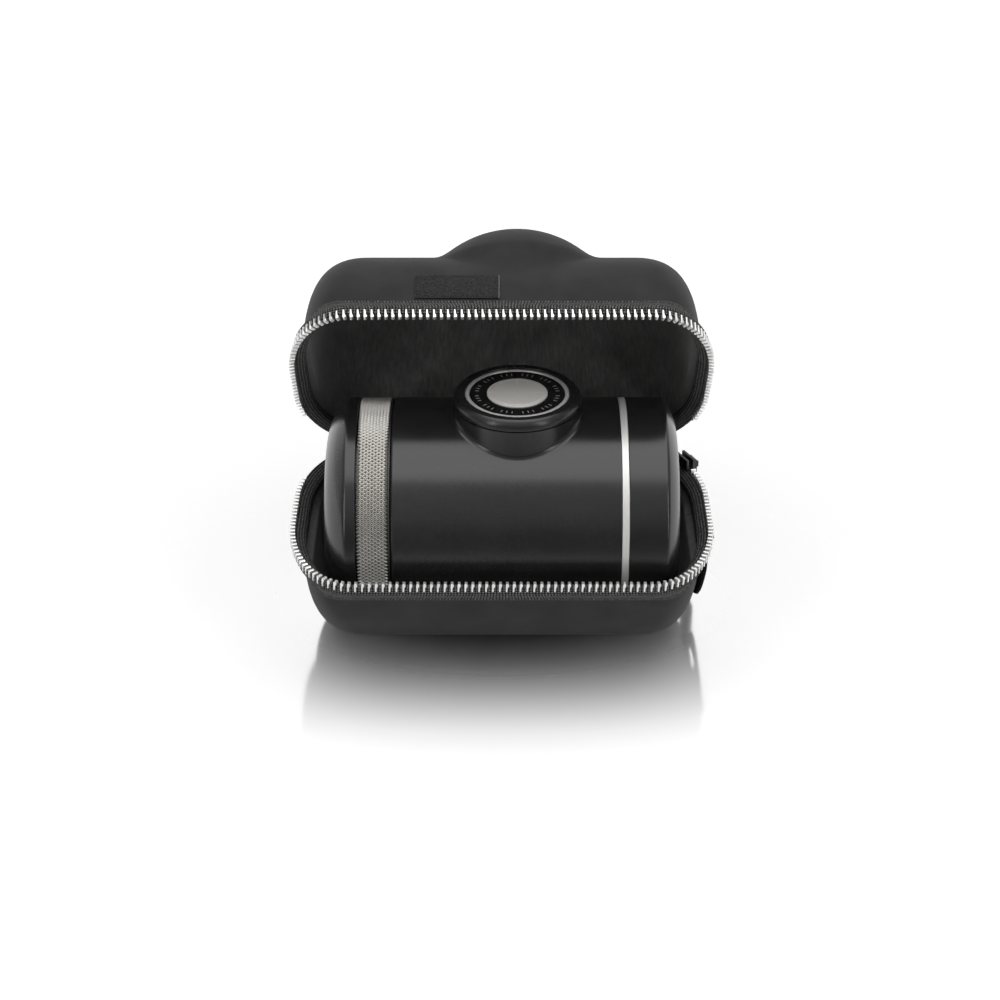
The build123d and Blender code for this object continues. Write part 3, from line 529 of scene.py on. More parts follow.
# name, width of a thread, darkest and lightest colour, relief
tape_weave = woven("tape_weave", 0.9 * MM, (0.005, 0.005, 0.005), (0.26, 0.26, 0.255), 1.0)
label_weave = woven("label_weave", 0.3 * MM, (0.012, 0.012, 0.012), (0.11, 0.11, 0.112), 0.5)
webbing = woven("webbing", 0.9 * MM, (0.004, 0.004, 0.004), (0.06, 0.06, 0.06), 0.9)
thread_dark = woven("thread_dark", 0.2 * MM, (0.01, 0.01, 0.01), (0.1, 0.1, 0.1), 0.6)
thread_pale = woven("thread_pale", 0.2 * MM, (0.12, 0.12, 0.12), (0.6, 0.6, 0.59), 0.6)
fleece = brushed_fleece()
print("materials", len(bpy.data.materials))

# %% [markdown]
# ## From points to pieces
# Most pieces here are skins stretched over a row of closed rings. One helper turns rings into
# a mesh, with UVs in metres, so that a weave keeps its scale. A skin that ends in a ring drawn
# together to a point or a line needs no cap. Another helper hands a finished mesh to the frame:
# the piece stays at the origin, gets its material, rides on its body, and takes the
# place of a CAD node where it stands for one.

# %% Mesh helpers
SMOOTH_LIMIT = radians(32)
FLAT_SHADED = 0.01               # an angle limit that leaves every facet flat
JOIN_DISTANCE = 1e-7             # joins only points that fall together


def finished_mesh(name, work):
    """A mesh from a bmesh that is no longer needed."""
    mesh = bpy.data.meshes.new(name)
    work.to_mesh(mesh)
    work.free()
    return mesh


def mesh_from_rings(name, rings, closed=False):
    """Skin over rings of equal length, and back to the first ring if closed."""
    work = bmesh.new()
    uv_layer = work.loops.layers.uv.new("UVMap")
    count = len(rings[0])
    rows = [[work.verts.new(point) for point in ring] for ring in rings]
    steps = [[(Vector(ring[(index + 1) % count]) - Vector(ring[index])).length
              for index in range(count)] for ring in rings]
    longest = max(steps, key=sum)
    around = [sum(longest[:index]) for index in range(count + 1)]
    down = [0.0]
    for first, second in zip(rings, rings[1:] + rings[:1]):
        down.append(down[-1] + (Vector(second[0]) - Vector(first[0])).length)
    for low in range(len(rings) if closed else len(rings) - 1):
        high = (low + 1) % len(rings)
        for index in range(count):
            after = (index + 1) % count
            face = work.faces.new((rows[low][index], rows[low][after],
                                   rows[high][after], rows[high][index]))
            corners = ((index, low), (index + 1, low), (index + 1, low + 1), (index, low + 1))
            for loop, (column, row) in zip(face.loops, corners):
                loop[uv_layer].uv = (around[column], down[row])
    bmesh.ops.remove_doubles(work, verts=work.verts, dist=JOIN_DISTANCE)
    bmesh.ops.recalc_face_normals(work, faces=work.faces)
    return finished_mesh(name, work)


def add_piece(name, mesh, material, body=None, node=None, limit=SMOOTH_LIMIT):
    """Put a finished mesh in the scene; it rides on a body and may stand for a CAD node."""
    mesh.materials.clear()
    mesh.materials.append(material)
    mesh.shade_smooth()
    mesh.set_sharp_from_angle(angle=limit)
    piece = bpy.data.objects.new(name, mesh)
    scene.collection.objects.link(piece)
    if body:
        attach(piece, body)
    if node:
        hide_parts(node)
    print(name, len(mesh.polygons), "faces")
    return piece


# %% [markdown]
# ## Turned parts
# The end caps, the band, the grip and the knob are all bodies of revolution. A lathe profile
# is a list of corners, and a corner may carry its own rounding: even a crisp edge in view gets
# a tenth or two of a millimetre, because an edge with no rounding catches no light.

# %% Lathe
TURN_STEPS = 160
ROUND_STEPS = 4


def arc_between(start, end, tangent, steps=14):
    """Circular arc from start to end that leaves start along tangent, without its ends."""
    chord = Vector(end) - Vector(start)
    direction = Vector(tangent).normalized()
    normal = Vector((-direction.y, direction.x))
    radius = chord.length_squared / (2 * chord.dot(normal))
    centre = Vector(start) + radius * normal
    first, last = Vector(start) - centre, Vector(end) - centre
    sweep = first.angle_signed(last)
    points = []
    for step in range(1, steps):
        turn = -sweep * step / steps
        points.append((centre.x + first.x * cos(turn) - first.y * sin(turn),
                       centre.y + first.x * sin(turn) + first.y * cos(turn)))
    return points


def round_corners(corners):
    """Profile through (along, radius) corners; a third number rounds one by a soft curve."""
    points = []
    for index, (along, radius, *rounding) in enumerate(corners):
        here = Vector((along, radius))
        if not rounding:
            points.append(here)
            continue
        before = Vector(corners[index - 1][:2])
        after = Vector(corners[(index + 1) % len(corners)][:2])
        start = here + (before - here).normalized() * rounding[0]
        end = here + (after - here).normalized() * rounding[0]
        for step in range(ROUND_STEPS + 1):
            share = step / ROUND_STEPS
            points.append(start * (1 - share) ** 2 + here * 2 * share * (1 - share)
                          + end * share ** 2)
    return points


def lathe(name, corners, axis, closed=False):
    """Turn a profile, in millimetres, round the maker's axis "X" or the pump's axis "Z"."""
    rings = []
    for along, radius in round_corners(corners):
        ring = []
        for step in range(TURN_STEPS):
            turn = 2 * pi * step / TURN_STEPS
            out, side = radius * MM * cos(turn), radius * MM * sin(turn)
            if axis == "X":
                ring.append((along * MM, side, AXIS_HEIGHT + out))
            else:
                ring.append((KNOB_X + out, side, AXIS_HEIGHT + along * MM))
        rings.append(ring)
    return mesh_from_rings(name, rings, closed)


def turned_ring(left, right, inner, outer, edge):
    """Profile of a plain ring with rounded outer edges."""
    return [(left, inner), (left, outer, edge), (right, outer, edge), (right, inner)]


# %% [markdown]
# ## End caps
# Each cap is a short cylinder, a shoulder that rolls over in one arc, and a face with a very
# slight crown. Its sizes come from the frame, so the cap always fills the CAD model's box.

# %% Crown of a cap
BODY_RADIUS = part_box("main_body")[1].y / MM
CAP_CROWN = 0.7
CROWN_SHARES = (0.0, 0.3, 0.5, 0.7, 0.85, 0.95, 1.0)
CAP_SEAM, CAP_EDGE = 0.25, 0.8   # roundings at the seam and where the shoulder starts


def crown(end, radius, outward):
    """Corners of a slightly domed face, from its edge to its middle at end."""
    return [(end - outward * CAP_CROWN * (1 - share ** 2), radius * sqrt(1 - share ** 2))
            for share in CROWN_SHARES]


# %% Tank lid
lid_low, lid_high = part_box("tank_lid")
lid_left, lid_end = lid_low.x / MM, lid_high.x / MM
TANK_LID_EDGE = 50.0
TANK_NOSE = 24.0
TANK_BORE = 30.6
TANK_SHOULDER = (1, -1.2)
CAP_THICKNESS = 2.2
lid_edge = (TANK_LID_EDGE, BODY_RADIUS)
lid_crown = crown(lid_end, TANK_NOSE, 1)
tank_lid_profile = [
    (lid_end - CAP_THICKNESS, 0), (lid_end - CAP_THICKNESS, TANK_NOSE),
    (TANK_LID_EDGE, TANK_BORE), (lid_left, TANK_BORE, CAP_SEAM),
    (lid_left, BODY_RADIUS, CAP_SEAM), (*lid_edge, CAP_EDGE),
    *arc_between(lid_edge, lid_crown[0], TANK_SHOULDER), *lid_crown]
add_piece("tank_lid_cap", lathe("tank_lid_cap", tank_lid_profile, "X"), cap_plastic,
          "tank_cap", "tank_lid")
print("tank lid", len(tank_lid_profile), "profile corners")

# %% Cover of the brewing end
cover_low, cover_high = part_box("portafilter_cover")
cover_end, cover_right = cover_low.x / MM, cover_high.x / MM
COVER_FACE = -43.9
COVER_EDGE = -47.1
COVER_NOSE = 22.0
COVER_WALL = 2.0
COVER_SHOULDER = (-1, -0.8)
SPIGOT_OUTER = 32.14
SPIGOT_INNER = 30.54
cover_edge = (COVER_EDGE, BODY_RADIUS)
cover_crown = crown(cover_end, COVER_NOSE, -1)
cover_profile = [
    (cover_end + COVER_WALL, 0), (cover_end + COVER_WALL, COVER_NOSE - COVER_WALL),
    (COVER_EDGE, SPIGOT_INNER), (cover_right, SPIGOT_INNER), (cover_right, SPIGOT_OUTER),
    (COVER_FACE, SPIGOT_OUTER), (COVER_FACE, BODY_RADIUS, CAP_SEAM), (*cover_edge, CAP_EDGE),
    *arc_between(cover_edge, cover_crown[0], COVER_SHOULDER), *cover_crown]
add_piece("brewing_end_cover", lathe("brewing_end_cover", cover_profile, "X"), cap_plastic,
          "cover", "portafilter_cover")

# %% Steel band
band_low, band_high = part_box("steel_band")
BAND_BORE = 32.5
BAND_EDGE = 0.2
band_profile = turned_ring(band_low.x / MM, band_high.x / MM, BAND_BORE, BODY_RADIUS, BAND_EDGE)
add_piece("polished_band", lathe("polished_band", band_profile, "X", closed=True), band_steel,
          "case_base", "steel_band")

# %% [markdown]
# ## Knurling with Geometry Nodes
# A knurl is one tiny pyramid repeated more than a thousand times round the grip, with every
# second circle of them shifted by half a step. Modelling it by hand is hopeless and a bump map
# leaves the silhouette smooth, so a node tree makes the points by arithmetic and puts a
# pyramid on each.
# Four more helpers follow: one starts a tree, one turns its copies, one gives trees their
# common ending, and one sets the inputs by their socket identifiers and turns the result into
# a plain mesh.


# %% Geometry Nodes helpers
def start_geometry(name, inputs):
    """A Geometry Nodes tree with geometry in and out, a Material and its own named inputs."""
    return start_tree("GeometryNodeTree", name,
                      {"Geometry": ("Geometry", None), **inputs, "Material": ("Material", None)},
                      {"Geometry": "Geometry"})


def align(tree, axis, vector, pivot="AUTO", rotation=(0, 0, 0)):
    """A rotation, turned on about pivot until its axis lies along a vector."""
    return node_out(tree, "FunctionNodeAlignRotationToVector", "Rotation", axis=axis,
                    pivot_axis=pivot, inputs={"Rotation": rotation, "Vector": vector})


def finish_tree(tree, given, result, instances):
    """The common ending: real geometry instead of instances, with its material set."""
    real = node_out(tree, "GeometryNodeRealizeInstances", "Geometry",
                    inputs={"Geometry": instances})
    painted = node_out(tree, "GeometryNodeSetMaterial", "Geometry",
                       inputs={"Geometry": real, "Material": given["Material"]})
    tree.links.new(painted, result["Geometry"])


def grow(name, tree, source, material, **inputs):
    """Run a tree on a source datablock and return the result as a plain mesh."""
    host = bpy.data.objects.new(name + "_host", source)
    scene.collection.objects.link(host)
    modifier = host.modifiers.new("nodes", "NODES")
    modifier.node_group = tree
    identifiers = {item.name: item.identifier for item in tree.interface.items_tree
                   if item.in_out == "INPUT"}
    modifier[identifiers["Material"]] = material
    for key, value in inputs.items():
        modifier[identifiers[key.replace("_", " ")]] = value
    bpy.context.view_layer.update()
    evaluated = host.evaluated_get(bpy.context.evaluated_depsgraph_get())
    mesh = bpy.data.meshes.new_from_object(evaluated)
    mesh.name = name
    host.modifiers.remove(modifier)
    bpy.data.objects.remove(host)
    return mesh


# %% Tree: diamond knurl
DIAMOND_FOOT, DIAMOND_TOP = 0.92, 0.36   # radii of a pyramid as shares of the pitch


def build_knurl_tree():
    """Pyramids on a cylinder along X: Rows round it, Columns along it."""
    tree, given, result = start_geometry("diamond_knurl", {
        "Left": ("Float", 0.0), "Width": ("Float", 9 * MM), "Radius": ("Float", 34 * MM),
        "Axis Height": ("Float", 0.0), "Columns": ("Int", 9), "Rows": ("Int", 150),
        "Height": ("Float", 0.4 * MM)})
    points = node_out(tree, "GeometryNodePoints", "Points",
                      inputs={"Count": product(tree, given["Columns"], given["Rows"])})
    index = node_out(tree, "GeometryNodeInputIndex", "Index")
    column = math_node(tree, "FLOORED_MODULO", index, given["Columns"])
    row = math_node(tree, "FLOOR", math_node(tree, "DIVIDE", index, given["Columns"]))
    shift = product(tree, math_node(tree, "FLOORED_MODULO", column, 2.0), 0.5)
    turn = math_node(tree, "DIVIDE", product(tree, plus(tree, row, shift), 2 * pi),
                     given["Rows"])
    pitch = math_node(tree, "DIVIDE", given["Width"], given["Columns"])
    along = plus(tree, given["Left"], product(tree, plus(tree, column, 0.5), pitch))
    side, up = math_node(tree, "SINE", turn), math_node(tree, "COSINE", turn)
    place = vector_of(tree, along, product(tree, side, given["Radius"]),
                      plus(tree, given["Axis Height"], product(tree, up, given["Radius"])))
    placed = node_out(tree, "GeometryNodeSetPosition", "Geometry",
                      inputs={"Geometry": points, "Position": place})
    upright = align(tree, "Z", vector_of(tree, 0.0, side, up))
    turned = align(tree, "X", (1, 0, 0), "Z", upright)
    pyramid = node_out(tree, "GeometryNodeMeshCone", "Mesh", fill_type="NONE", inputs={
        "Vertices": 4, "Radius Top": product(tree, pitch, DIAMOND_TOP),
        "Radius Bottom": product(tree, pitch, DIAMOND_FOOT), "Depth": given["Height"]})
    around = math_node(tree, "DIVIDE", product(tree, given["Radius"], 2 * pi), given["Rows"])
    stretch = math_node(tree, "DIVIDE", product(tree, around, 0.5), pitch)
    instances = node_out(tree, "GeometryNodeInstanceOnPoints", "Instances", inputs={
        "Points": placed, "Instance": pyramid, "Rotation": turned,
        "Scale": vector_of(tree, 1.0, stretch, 1.0)})
    finish_tree(tree, given, result, instances)
    return tree


knurl_tree = build_knurl_tree()

# %% Knurled grip ring
KNURL_DEPTH = 0.42
KNURL_COLUMNS = 9
KNURL_ROWS = 182
KNURL_SINK = 0.02                # how far the pyramids stand in the ring
RING_BORE = 33.6
RING_EDGE = 0.15
RING_LIP = 0.25
ring_low, ring_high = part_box("knurled_ring")
grip_left, grip_right = ring_low.x / MM, ring_high.x / MM
core = ring_high.y / MM - KNURL_DEPTH
ring_profile = turned_ring(grip_left, grip_right, RING_BORE, core, RING_EDGE)
# the core under the diamonds is painted dark, as shade between them
add_piece("grip_ring", lathe("grip_ring", ring_profile, "X", closed=True), valley_shade_steel,
          "brew_head", "knurled_ring")
empty_mesh = bpy.data.meshes.new("empty")
knurl_mesh = grow(
    "grip_knurl", knurl_tree, empty_mesh, knurl_steel,
    Left=(grip_left + RING_LIP) * MM, Width=(grip_right - grip_left - 2 * RING_LIP) * MM,
    Radius=(core - KNURL_SINK) * MM, Axis_Height=AXIS_HEIGHT, Columns=KNURL_COLUMNS,
    Rows=KNURL_ROWS, Height=KNURL_DEPTH * MM)
add_piece("grip_knurl", knurl_mesh, knurl_steel, "brew_head", limit=FLAT_SHADED)
print("diamonds", KNURL_COLUMNS * KNURL_ROWS)

# %% [markdown]
# ## The knob
# The knob is a low puck with a recess. In the recess sit a bright ring, a glossy dial and a
# brushed badge, each a turned part of its own. The dial carries plain ticks.

# %% Sizes of the knob
bezel_low, bezel_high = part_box("knob_bezel")
dial_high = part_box("knob_dial")[1]
badge_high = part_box("knob_badge")[1]


def height(point):
    """Height above the maker's axis in millimetres."""
    return (point.z - AXIS_HEIGHT) / MM


def radius_of(corner):
    """Radius round the pump's axis of a box corner, in millimetres."""
    return (corner.x - KNOB_X) / MM


foot, top, recess = height(knob_low), height(knob_high), height(bezel_low)
bezel_top, dial_top, badge_top = height(bezel_high), height(dial_high), height(badge_high)
skirt, bezel_radius = radius_of(knob_high), radius_of(bezel_high)
dial_radius, badge_radius = radius_of(dial_high), radius_of(badge_high)
print("knob radius", round(skirt, 2), "ring", round(bezel_radius, 2), "dial",
      round(dial_radius, 2), "badge", round(badge_radius, 2))

# %% Knob
ROD_BORE = 5.56
ROD_SEAT = 39.7
SHOULDER_RISE = 0.2              # of the shoulder above the middle of the knob
FOOT_INSET, SHOULDER_INSET = 0.05, 0.1   # the side leans in this far from the full radius
LIP_RADIUS = 18.27
RECESS_RIM, RECESS_PLAY = 0.15, 0.1      # the recess is this much wider than the bright ring
# roundings from the foot up to the edge of the recess
FOOT_EDGE, SHOULDER_EDGE, LIP_EDGE, RECESS_EDGE = 0.18, 0.9, 0.55, 0.25
knob_profile = [
    (ROD_SEAT, 0), (ROD_SEAT, ROD_BORE), (foot, ROD_BORE), (foot, skirt - FOOT_INSET, FOOT_EDGE),
    ((foot + top) / 2 + SHOULDER_RISE, skirt - SHOULDER_INSET, SHOULDER_EDGE),
    (top, LIP_RADIUS, LIP_EDGE), (top, bezel_radius + RECESS_RIM, RECESS_EDGE),
    (recess, bezel_radius + RECESS_PLAY), (recess, 0)]
add_piece("knob_puck", lathe("knob_puck", knob_profile, "Z"), knob_plastic,
          "knob", "piston_knob")

# %% Ring, dial and badge
BEZEL_SOFT = (0.35, 0.55)        # roundings of the ring's inner and outer edge
BEZEL_BORE = 14.6
DIAL_PLAY = 0.1
BADGE_EDGE = 0.22
GROOVE_RADIUS = 8.2
GROOVE = 0.16
bezel_profile = [(recess, BEZEL_BORE), (bezel_top, BEZEL_BORE, BEZEL_SOFT[0]),
                 (bezel_top, bezel_radius, BEZEL_SOFT[1]), (recess, bezel_radius)]
dial_bore = badge_radius + DIAL_PLAY
dial_profile = [(recess, dial_bore), (dial_top, dial_bore), (dial_top, dial_radius),
                (recess, dial_radius)]
badge_profile = [
    (recess, 0), (recess, badge_radius), (badge_top, badge_radius, BADGE_EDGE),
    (badge_top, GROOVE_RADIUS + GROOVE), (badge_top - GROOVE, GROOVE_RADIUS),
    (badge_top, GROOVE_RADIUS - GROOVE), (badge_top, 0)]
for name, profile, closed, material, slot, node in (
        ("knob_bright_ring", bezel_profile, True, bezel_steel, "bright_steel", "knob_bezel"),
        ("knob_dial_plate", dial_profile, True, dial_ink, "dial_print", "knob_dial"),
        ("knob_disc", badge_profile, False, badge_steel, "satin_steel", "knob_badge")):
    add_piece(name, lathe(name, profile, "Z", closed), material, "knob", node)


# %% Tree: dial ticks
def build_tick_tree():
    """Small bars round a circle, pointing outwards, every Gap-th one left out."""
    tree, given, result = start_geometry("dial_ticks", {
        "Centre": ("Vector", None), "Radius": ("Float", 12 * MM), "Ticks": ("Int", 60),
        "Gap": ("Int", 5), "Length": ("Float", 1 * MM), "Width": ("Float", 0.2 * MM)})
    circle = node_out(tree, "GeometryNodeMeshCircle", "Mesh",
                      inputs={"Vertices": given["Ticks"], "Radius": given["Radius"]})
    outward = node_out(tree, "GeometryNodeInputPosition", "Position")
    index = node_out(tree, "GeometryNodeInputIndex", "Index")
    kept = math_node(tree, "FLOORED_MODULO", index, given["Gap"])
    turn = align(tree, "X", outward, "Z")
    size = vector_of(tree, given["Length"], given["Width"], given["Width"])
    bar = node_out(tree, "GeometryNodeMeshCube", "Mesh", inputs={"Size": size})
    bars = node_out(tree, "GeometryNodeInstanceOnPoints", "Instances", inputs={
        "Points": circle, "Selection": kept, "Instance": bar, "Rotation": turn})
    moved = node_out(tree, "GeometryNodeTransform", "Geometry",
                     inputs={"Geometry": bars, "Translation": given["Centre"]})
    finish_tree(tree, given, result, moved)
    return tree


# %% Dial ticks
TICK_SINK = 0.06
TICK_RADIUS = 12.4
TICK_LENGTH = 1.2
TICK_WIDTH = 0.26
TICKS, TICK_GAP = 48, 4
tick_mesh = grow("dial_ticks", build_tick_tree(), empty_mesh, tick_ink,
                 Centre=(KNOB_X, 0, AXIS_HEIGHT + (dial_top - TICK_SINK) * MM),
                 Radius=TICK_RADIUS * MM, Ticks=TICKS, Gap=TICK_GAP, Length=TICK_LENGTH * MM,
                 Width=TICK_WIDTH * MM)
add_piece("dial_ticks", tick_mesh, tick_ink, "knob", limit=FLAT_SHADED)

# %% [markdown]
# ## Main body
# The body is one moulding: a cylinder with the round boss of the pump growing out of its top.
# The CAD mesh already has that shape, cut into loose triangles. A merged copy is shaded
# smoothly, and where a corner lies on the cylinder its normal is set to the cylinder's own,
# because long thin triangles would otherwise draw streaks in the highlight.

# %% Smooth copies of CAD nodes
MERGE_DISTANCE = 0.002 * MM
ON_CYLINDER = 0.05 * MM          # how far from the cylinder a corner may lie
FACING_OUT = 0.99
BODY_LIMIT = radians(25)


def merged_copy(node):
    """The CAD node's mesh with its loose triangles joined."""
    work = bmesh.new()
    work.from_mesh(nodes[node].data)
    bmesh.ops.remove_doubles(work, verts=work.verts, dist=MERGE_DISTANCE)
    return finished_mesh(node + "_smooth", work)


def polish_cylinder(mesh, radius):
    """Exact normals where the mesh follows a cylinder round the maker's axis."""
    corner_normals = [Vector(corner.vector) for corner in mesh.corner_normals]
    for polygon in mesh.polygons:
        for loop_index in polygon.loop_indices:
            place = mesh.vertices[mesh.loops[loop_index].vertex_index].co
            outward = Vector((0, place.y, place.z - AXIS_HEIGHT))
            if abs(outward.length - radius) < ON_CYLINDER:
                outward.normalize()
                if polygon.normal.dot(outward) > FACING_OUT:
                    corner_normals[loop_index] = outward
    mesh.normals_split_custom_set(corner_normals)


body = add_piece("maker_body", merged_copy("main_body"), body_plastic,
                 "case_base", "main_body", limit=BODY_LIMIT)
polish_cylinder(body.data, BODY_RADIUS * MM)

# %% [markdown]
# ## The moulded case
# Both halves come from one rule. At each level from the zip line, the case has a half length,
# a half depth and rounded corners. The depth follows a circle round the maker, the length is
# rounded off at the bottom, and near the zip the wall flares out softly into the tape. Rings
# at many levels, joined into a skin, give a smooth moulded shape with even quads; sculpting
# or a boolean of simple solids would leave creases that foam under fabric never has.

# %% Case rule
hinge = next(joint for joint in frame["joints"] if joint["name"] == "lid_hinge")
RIM_Z = hinge["pos_m"][2] / MM
HINGE_Y = hinge["pos_m"][1] / MM
LID_OPEN = -radians(hinge["range_deg"][0])
RIM_DROP = AXIS_HEIGHT / MM - RIM_Z
HINGE_GAP = 0.3
RIM_DEPTH = HINGE_Y - HINGE_GAP
RIM_LENGTH, WALL_LENGTH = 65.1, 61.6     # half lengths at the zip line and below the flare
FLARE_TOP, FLARE_HEIGHT = 2.8, 8.5       # levels between which the flare runs out
CORNER_RIM, CORNER_WALL = 20.3, 13.5     # corner sizes along X, at the same two places
CORNER_SHARE = 0.82                      # corner size along Y, as a share of the half depth
ROUND_LOSS = 2.0                         # a deeper skin is rounded less, by this much per mm
SHARE_LOSS = 0.1                         # and its corners take this much less per mm
# a half: radius, height, end rounding, and the level of the maker's axis in it
BASE_HALF = (39.4, RIM_Z, 13.0, -RIM_DROP)
LID_HALF = (38.3, 38.999, 13.8, RIM_DROP)


def case_size(level, half, inset):
    """Half length, half depth and corner sizes, level mm from the zip line."""
    radius, height_of_half, end_round, axis_level = half
    bend = min(1.0, max(0.0, (level - FLARE_TOP) / (FLARE_HEIGHT - FLARE_TOP)))
    flare = (1 + cos(pi * bend)) / 2
    depth = sqrt((radius - inset) ** 2 - (level - axis_level) ** 2)
    depth += (RIM_DEPTH - radius) * flare
    run = max(0.0, level - FLARE_HEIGHT) / (height_of_half - inset - FLARE_HEIGHT)
    rounding = (end_round - ROUND_LOSS * inset) * (1 - sqrt(max(0.0, 1 - run * run)))
    length = WALL_LENGTH - inset - rounding + (RIM_LENGTH - WALL_LENGTH) * flare
    tightening = 1 + (ROUND_LOSS - 1) * (1 - flare)
    corner = CORNER_WALL + (CORNER_RIM - CORNER_WALL) * flare - tightening * inset
    share = CORNER_SHARE * (1 - SHARE_LOSS * inset * (1 - flare))
    return length, depth, corner, share * depth


# %% Rings of the case
CORNER_STEPS = 14
LONG_STEPS = 44
SHORT_STEPS = 10


def rim_outline(length, depth, corner_x, corner_y):
    """Points round one level, from the right end of the front side, seen from above."""
    x, y = length - corner_x, depth - corner_y
    sides = ((x, -y, 270, (length, y), SHORT_STEPS), (x, y, 0, (-x, depth), LONG_STEPS),
             (-x, y, 90, (-length, -y), SHORT_STEPS), (-x, -y, 180, (x, -depth), LONG_STEPS))
    points = []
    for centre_x, centre_y, first, goal, steps in sides:
        for step in range(CORNER_STEPS + 1):
            turn = radians(first + 90 * step / CORNER_STEPS)
            points.append(Vector((centre_x + corner_x * cos(turn),
                                  centre_y + corner_y * sin(turn))))
        start = points[-1]
        points += [start.lerp(Vector(goal), step / steps) for step in range(1, steps)]
    return points


# %% Places on the base and on the lid
def on_base(x, y, level):
    """A point of the base in metres, level mm below the zip line."""
    return Vector((x, y, RIM_Z - level)) * MM


def on_lid(x, y, level):
    """A point of the open lid in metres, level mm from the lid's own zip line."""
    away = y - HINGE_Y
    return Vector((x, HINGE_Y + away * cos(LID_OPEN) + level * sin(LID_OPEN),
                   RIM_Z - away * sin(LID_OPEN) + level * cos(LID_OPEN))) * MM


# %% [markdown]
# ## The bump over the knob
# The lid swells into a round bump where the knob stands. Rather than a second shape joined to
# the first, each point of the lid is pushed out, away from the maker's axis, until it lies on
# a ball set into a short upright wall, and near the meeting line the push is smoothed. So the
# skin stays one even net of quads, and the shell and the lining share the same bump.

# %% Bump over the knob
DOME_RADIUS = 35.0               # of the ball
DOME_CENTRE = 14.3               # of the ball, above the maker's axis
DOME_REACH = 30.2                # radius of the upright wall
DOME_BLEND = 3.0                 # width of the soft fillet
LEAST_SINE = 1e-6                # keeps the wall's reach finite right over the axis


def over_dome(x, y, level, inset):
    """Push a point of the lid out to the bump over the knob, with a soft fillet round it."""
    rise = level - RIM_DROP
    aside = x - KNOB_X / MM
    reach, radius = DOME_REACH - inset, DOME_RADIUS - inset
    if rise <= 0 or abs(aside) >= reach:
        return x, y, level
    away = hypot(y, rise)
    turn_sin, turn_cos = abs(y) / away, rise / away
    inside = radius ** 2 - aside ** 2 - (DOME_CENTRE * turn_sin) ** 2
    if inside <= 0:
        return x, y, level
    ball = DOME_CENTRE * turn_cos + sqrt(inside)
    wall = sqrt(reach ** 2 - aside ** 2) / max(turn_sin, LEAST_SINE)
    bump = min(ball, wall)
    overlap = max(DOME_BLEND - abs(bump - away), 0) / DOME_BLEND
    pushed = max(bump, away) + overlap ** 2 * DOME_BLEND / 4
    scale = pushed / away
    return x, y * scale, RIM_DROP + rise * scale


# %% One ring of a half
def case_ring(place, half, level, inset, dome=None, share=1.0):
    """One ring of a half; dome is the inset of the bump over the knob, if there is one.

    A share below 1 draws the ring together towards its middle line."""
    length, depth, corner_x, corner_y = case_size(level, half, inset)
    ring = []
    for point in rim_outline(length, depth * share, corner_x, corner_y * share):
        spot = (point.x, point.y, level)
        if dome is not None:
            spot = over_dome(*spot, dome)
        ring.append(place(*spot))
    return ring


def skin_levels(start, end, steps, ease=False):
    """Levels from start to end; eased levels crowd towards the end, where a wall turns over."""
    return [start + (end - start) * (sin(pi / 2 * step / steps) if ease else step / steps)
            for step in range(steps + 1)]


print("lid opens", round(LID_OPEN * 180 / pi, 1), "degrees")

# %% Bowls
SHELL_TOP = 8.0
TUCK = 0.75                      # how far the shell steps in where the tape covers it
LIP = 4.6
BOWL_STEPS = 40
TUCK_STEPS = 3
CLOSING_STEPS = 5


def bowl(place, half, inset, top, dome=None):
    """Rings of one skin of a half, from the middle line of its floor to a level near the rim."""
    floor = half[1] - inset
    closing = [case_ring(place, half, floor, inset, dome, step / CLOSING_STEPS)
               for step in range(CLOSING_STEPS)]
    levels = reversed(skin_levels(top, floor, BOWL_STEPS, ease=True))
    return closing + [case_ring(place, half, level, inset, dome) for level in levels]


def two_skins(place, half, insets, top, domes=(None, None), middle=()):
    """Closed wall between an outer and an inner skin, with rings of its own between them."""
    outer = bowl(place, half, insets[0], top[0], domes[0])
    inner = bowl(place, half, insets[1], top[1], domes[1])
    return outer + list(middle) + inner[::-1]


# %% Shells of the case
BASE_WALL, LID_WALL, DOME_WALL = 2.2, 1.8, 0.9


def shell(name, place, half, wall, domes, body, node):
    """Moulded foam shell with its lip tucked in behind the zip tape."""
    tucked = [case_ring(place, half, level, TUCK)
              for level in skin_levels(SHELL_TOP, LIP, TUCK_STEPS)]
    rings = two_skins(place, half, (0, wall), (SHELL_TOP, LIP), domes, tucked)
    piece = add_piece(name, mesh_from_rings(name, rings), knit, body, node)


shell("base_shell", on_base, BASE_HALF, BASE_WALL, (None, None), "case_base", "case_base_shell")
shell("lid_shell", on_lid, LID_HALF, LID_WALL, (0, DOME_WALL), "case_lid", "case_lid_shell")

# %% [markdown]
# ## Fleece linings
# Each half is lined with brushed fleece, glued in as the shell is moulded, so it lies a fraction
# of a millimetre inside the shell and repeats its shape, bump and all. It is the same rule with
# two deeper insets; the pile is the material's job, because real fibres would cost far too much.

# %% Linings
LINING_TOP = 5.1
# insets of the glued and of the brushed skin
BASE_LINING = (2.4, 3.2)
LID_LINING = (2.0, 2.7)
DOME_LINING = (1.1, 1.8)


def lining(name, place, half, insets, domes, body, node):
    """Fleece between two deeper skins of a half."""
    rings = two_skins(place, half, insets, (LINING_TOP, LINING_TOP), domes)
    add_piece(name, mesh_from_rings(name, rings), fleece, body, node)


lining("base_fleece", on_base, BASE_HALF, BASE_LINING, (None, None), "case_base", "base_lining")
lining("lid_fleece", on_lid, LID_HALF, LID_LINING, DOME_LINING, "case_lid", "lid_lining")

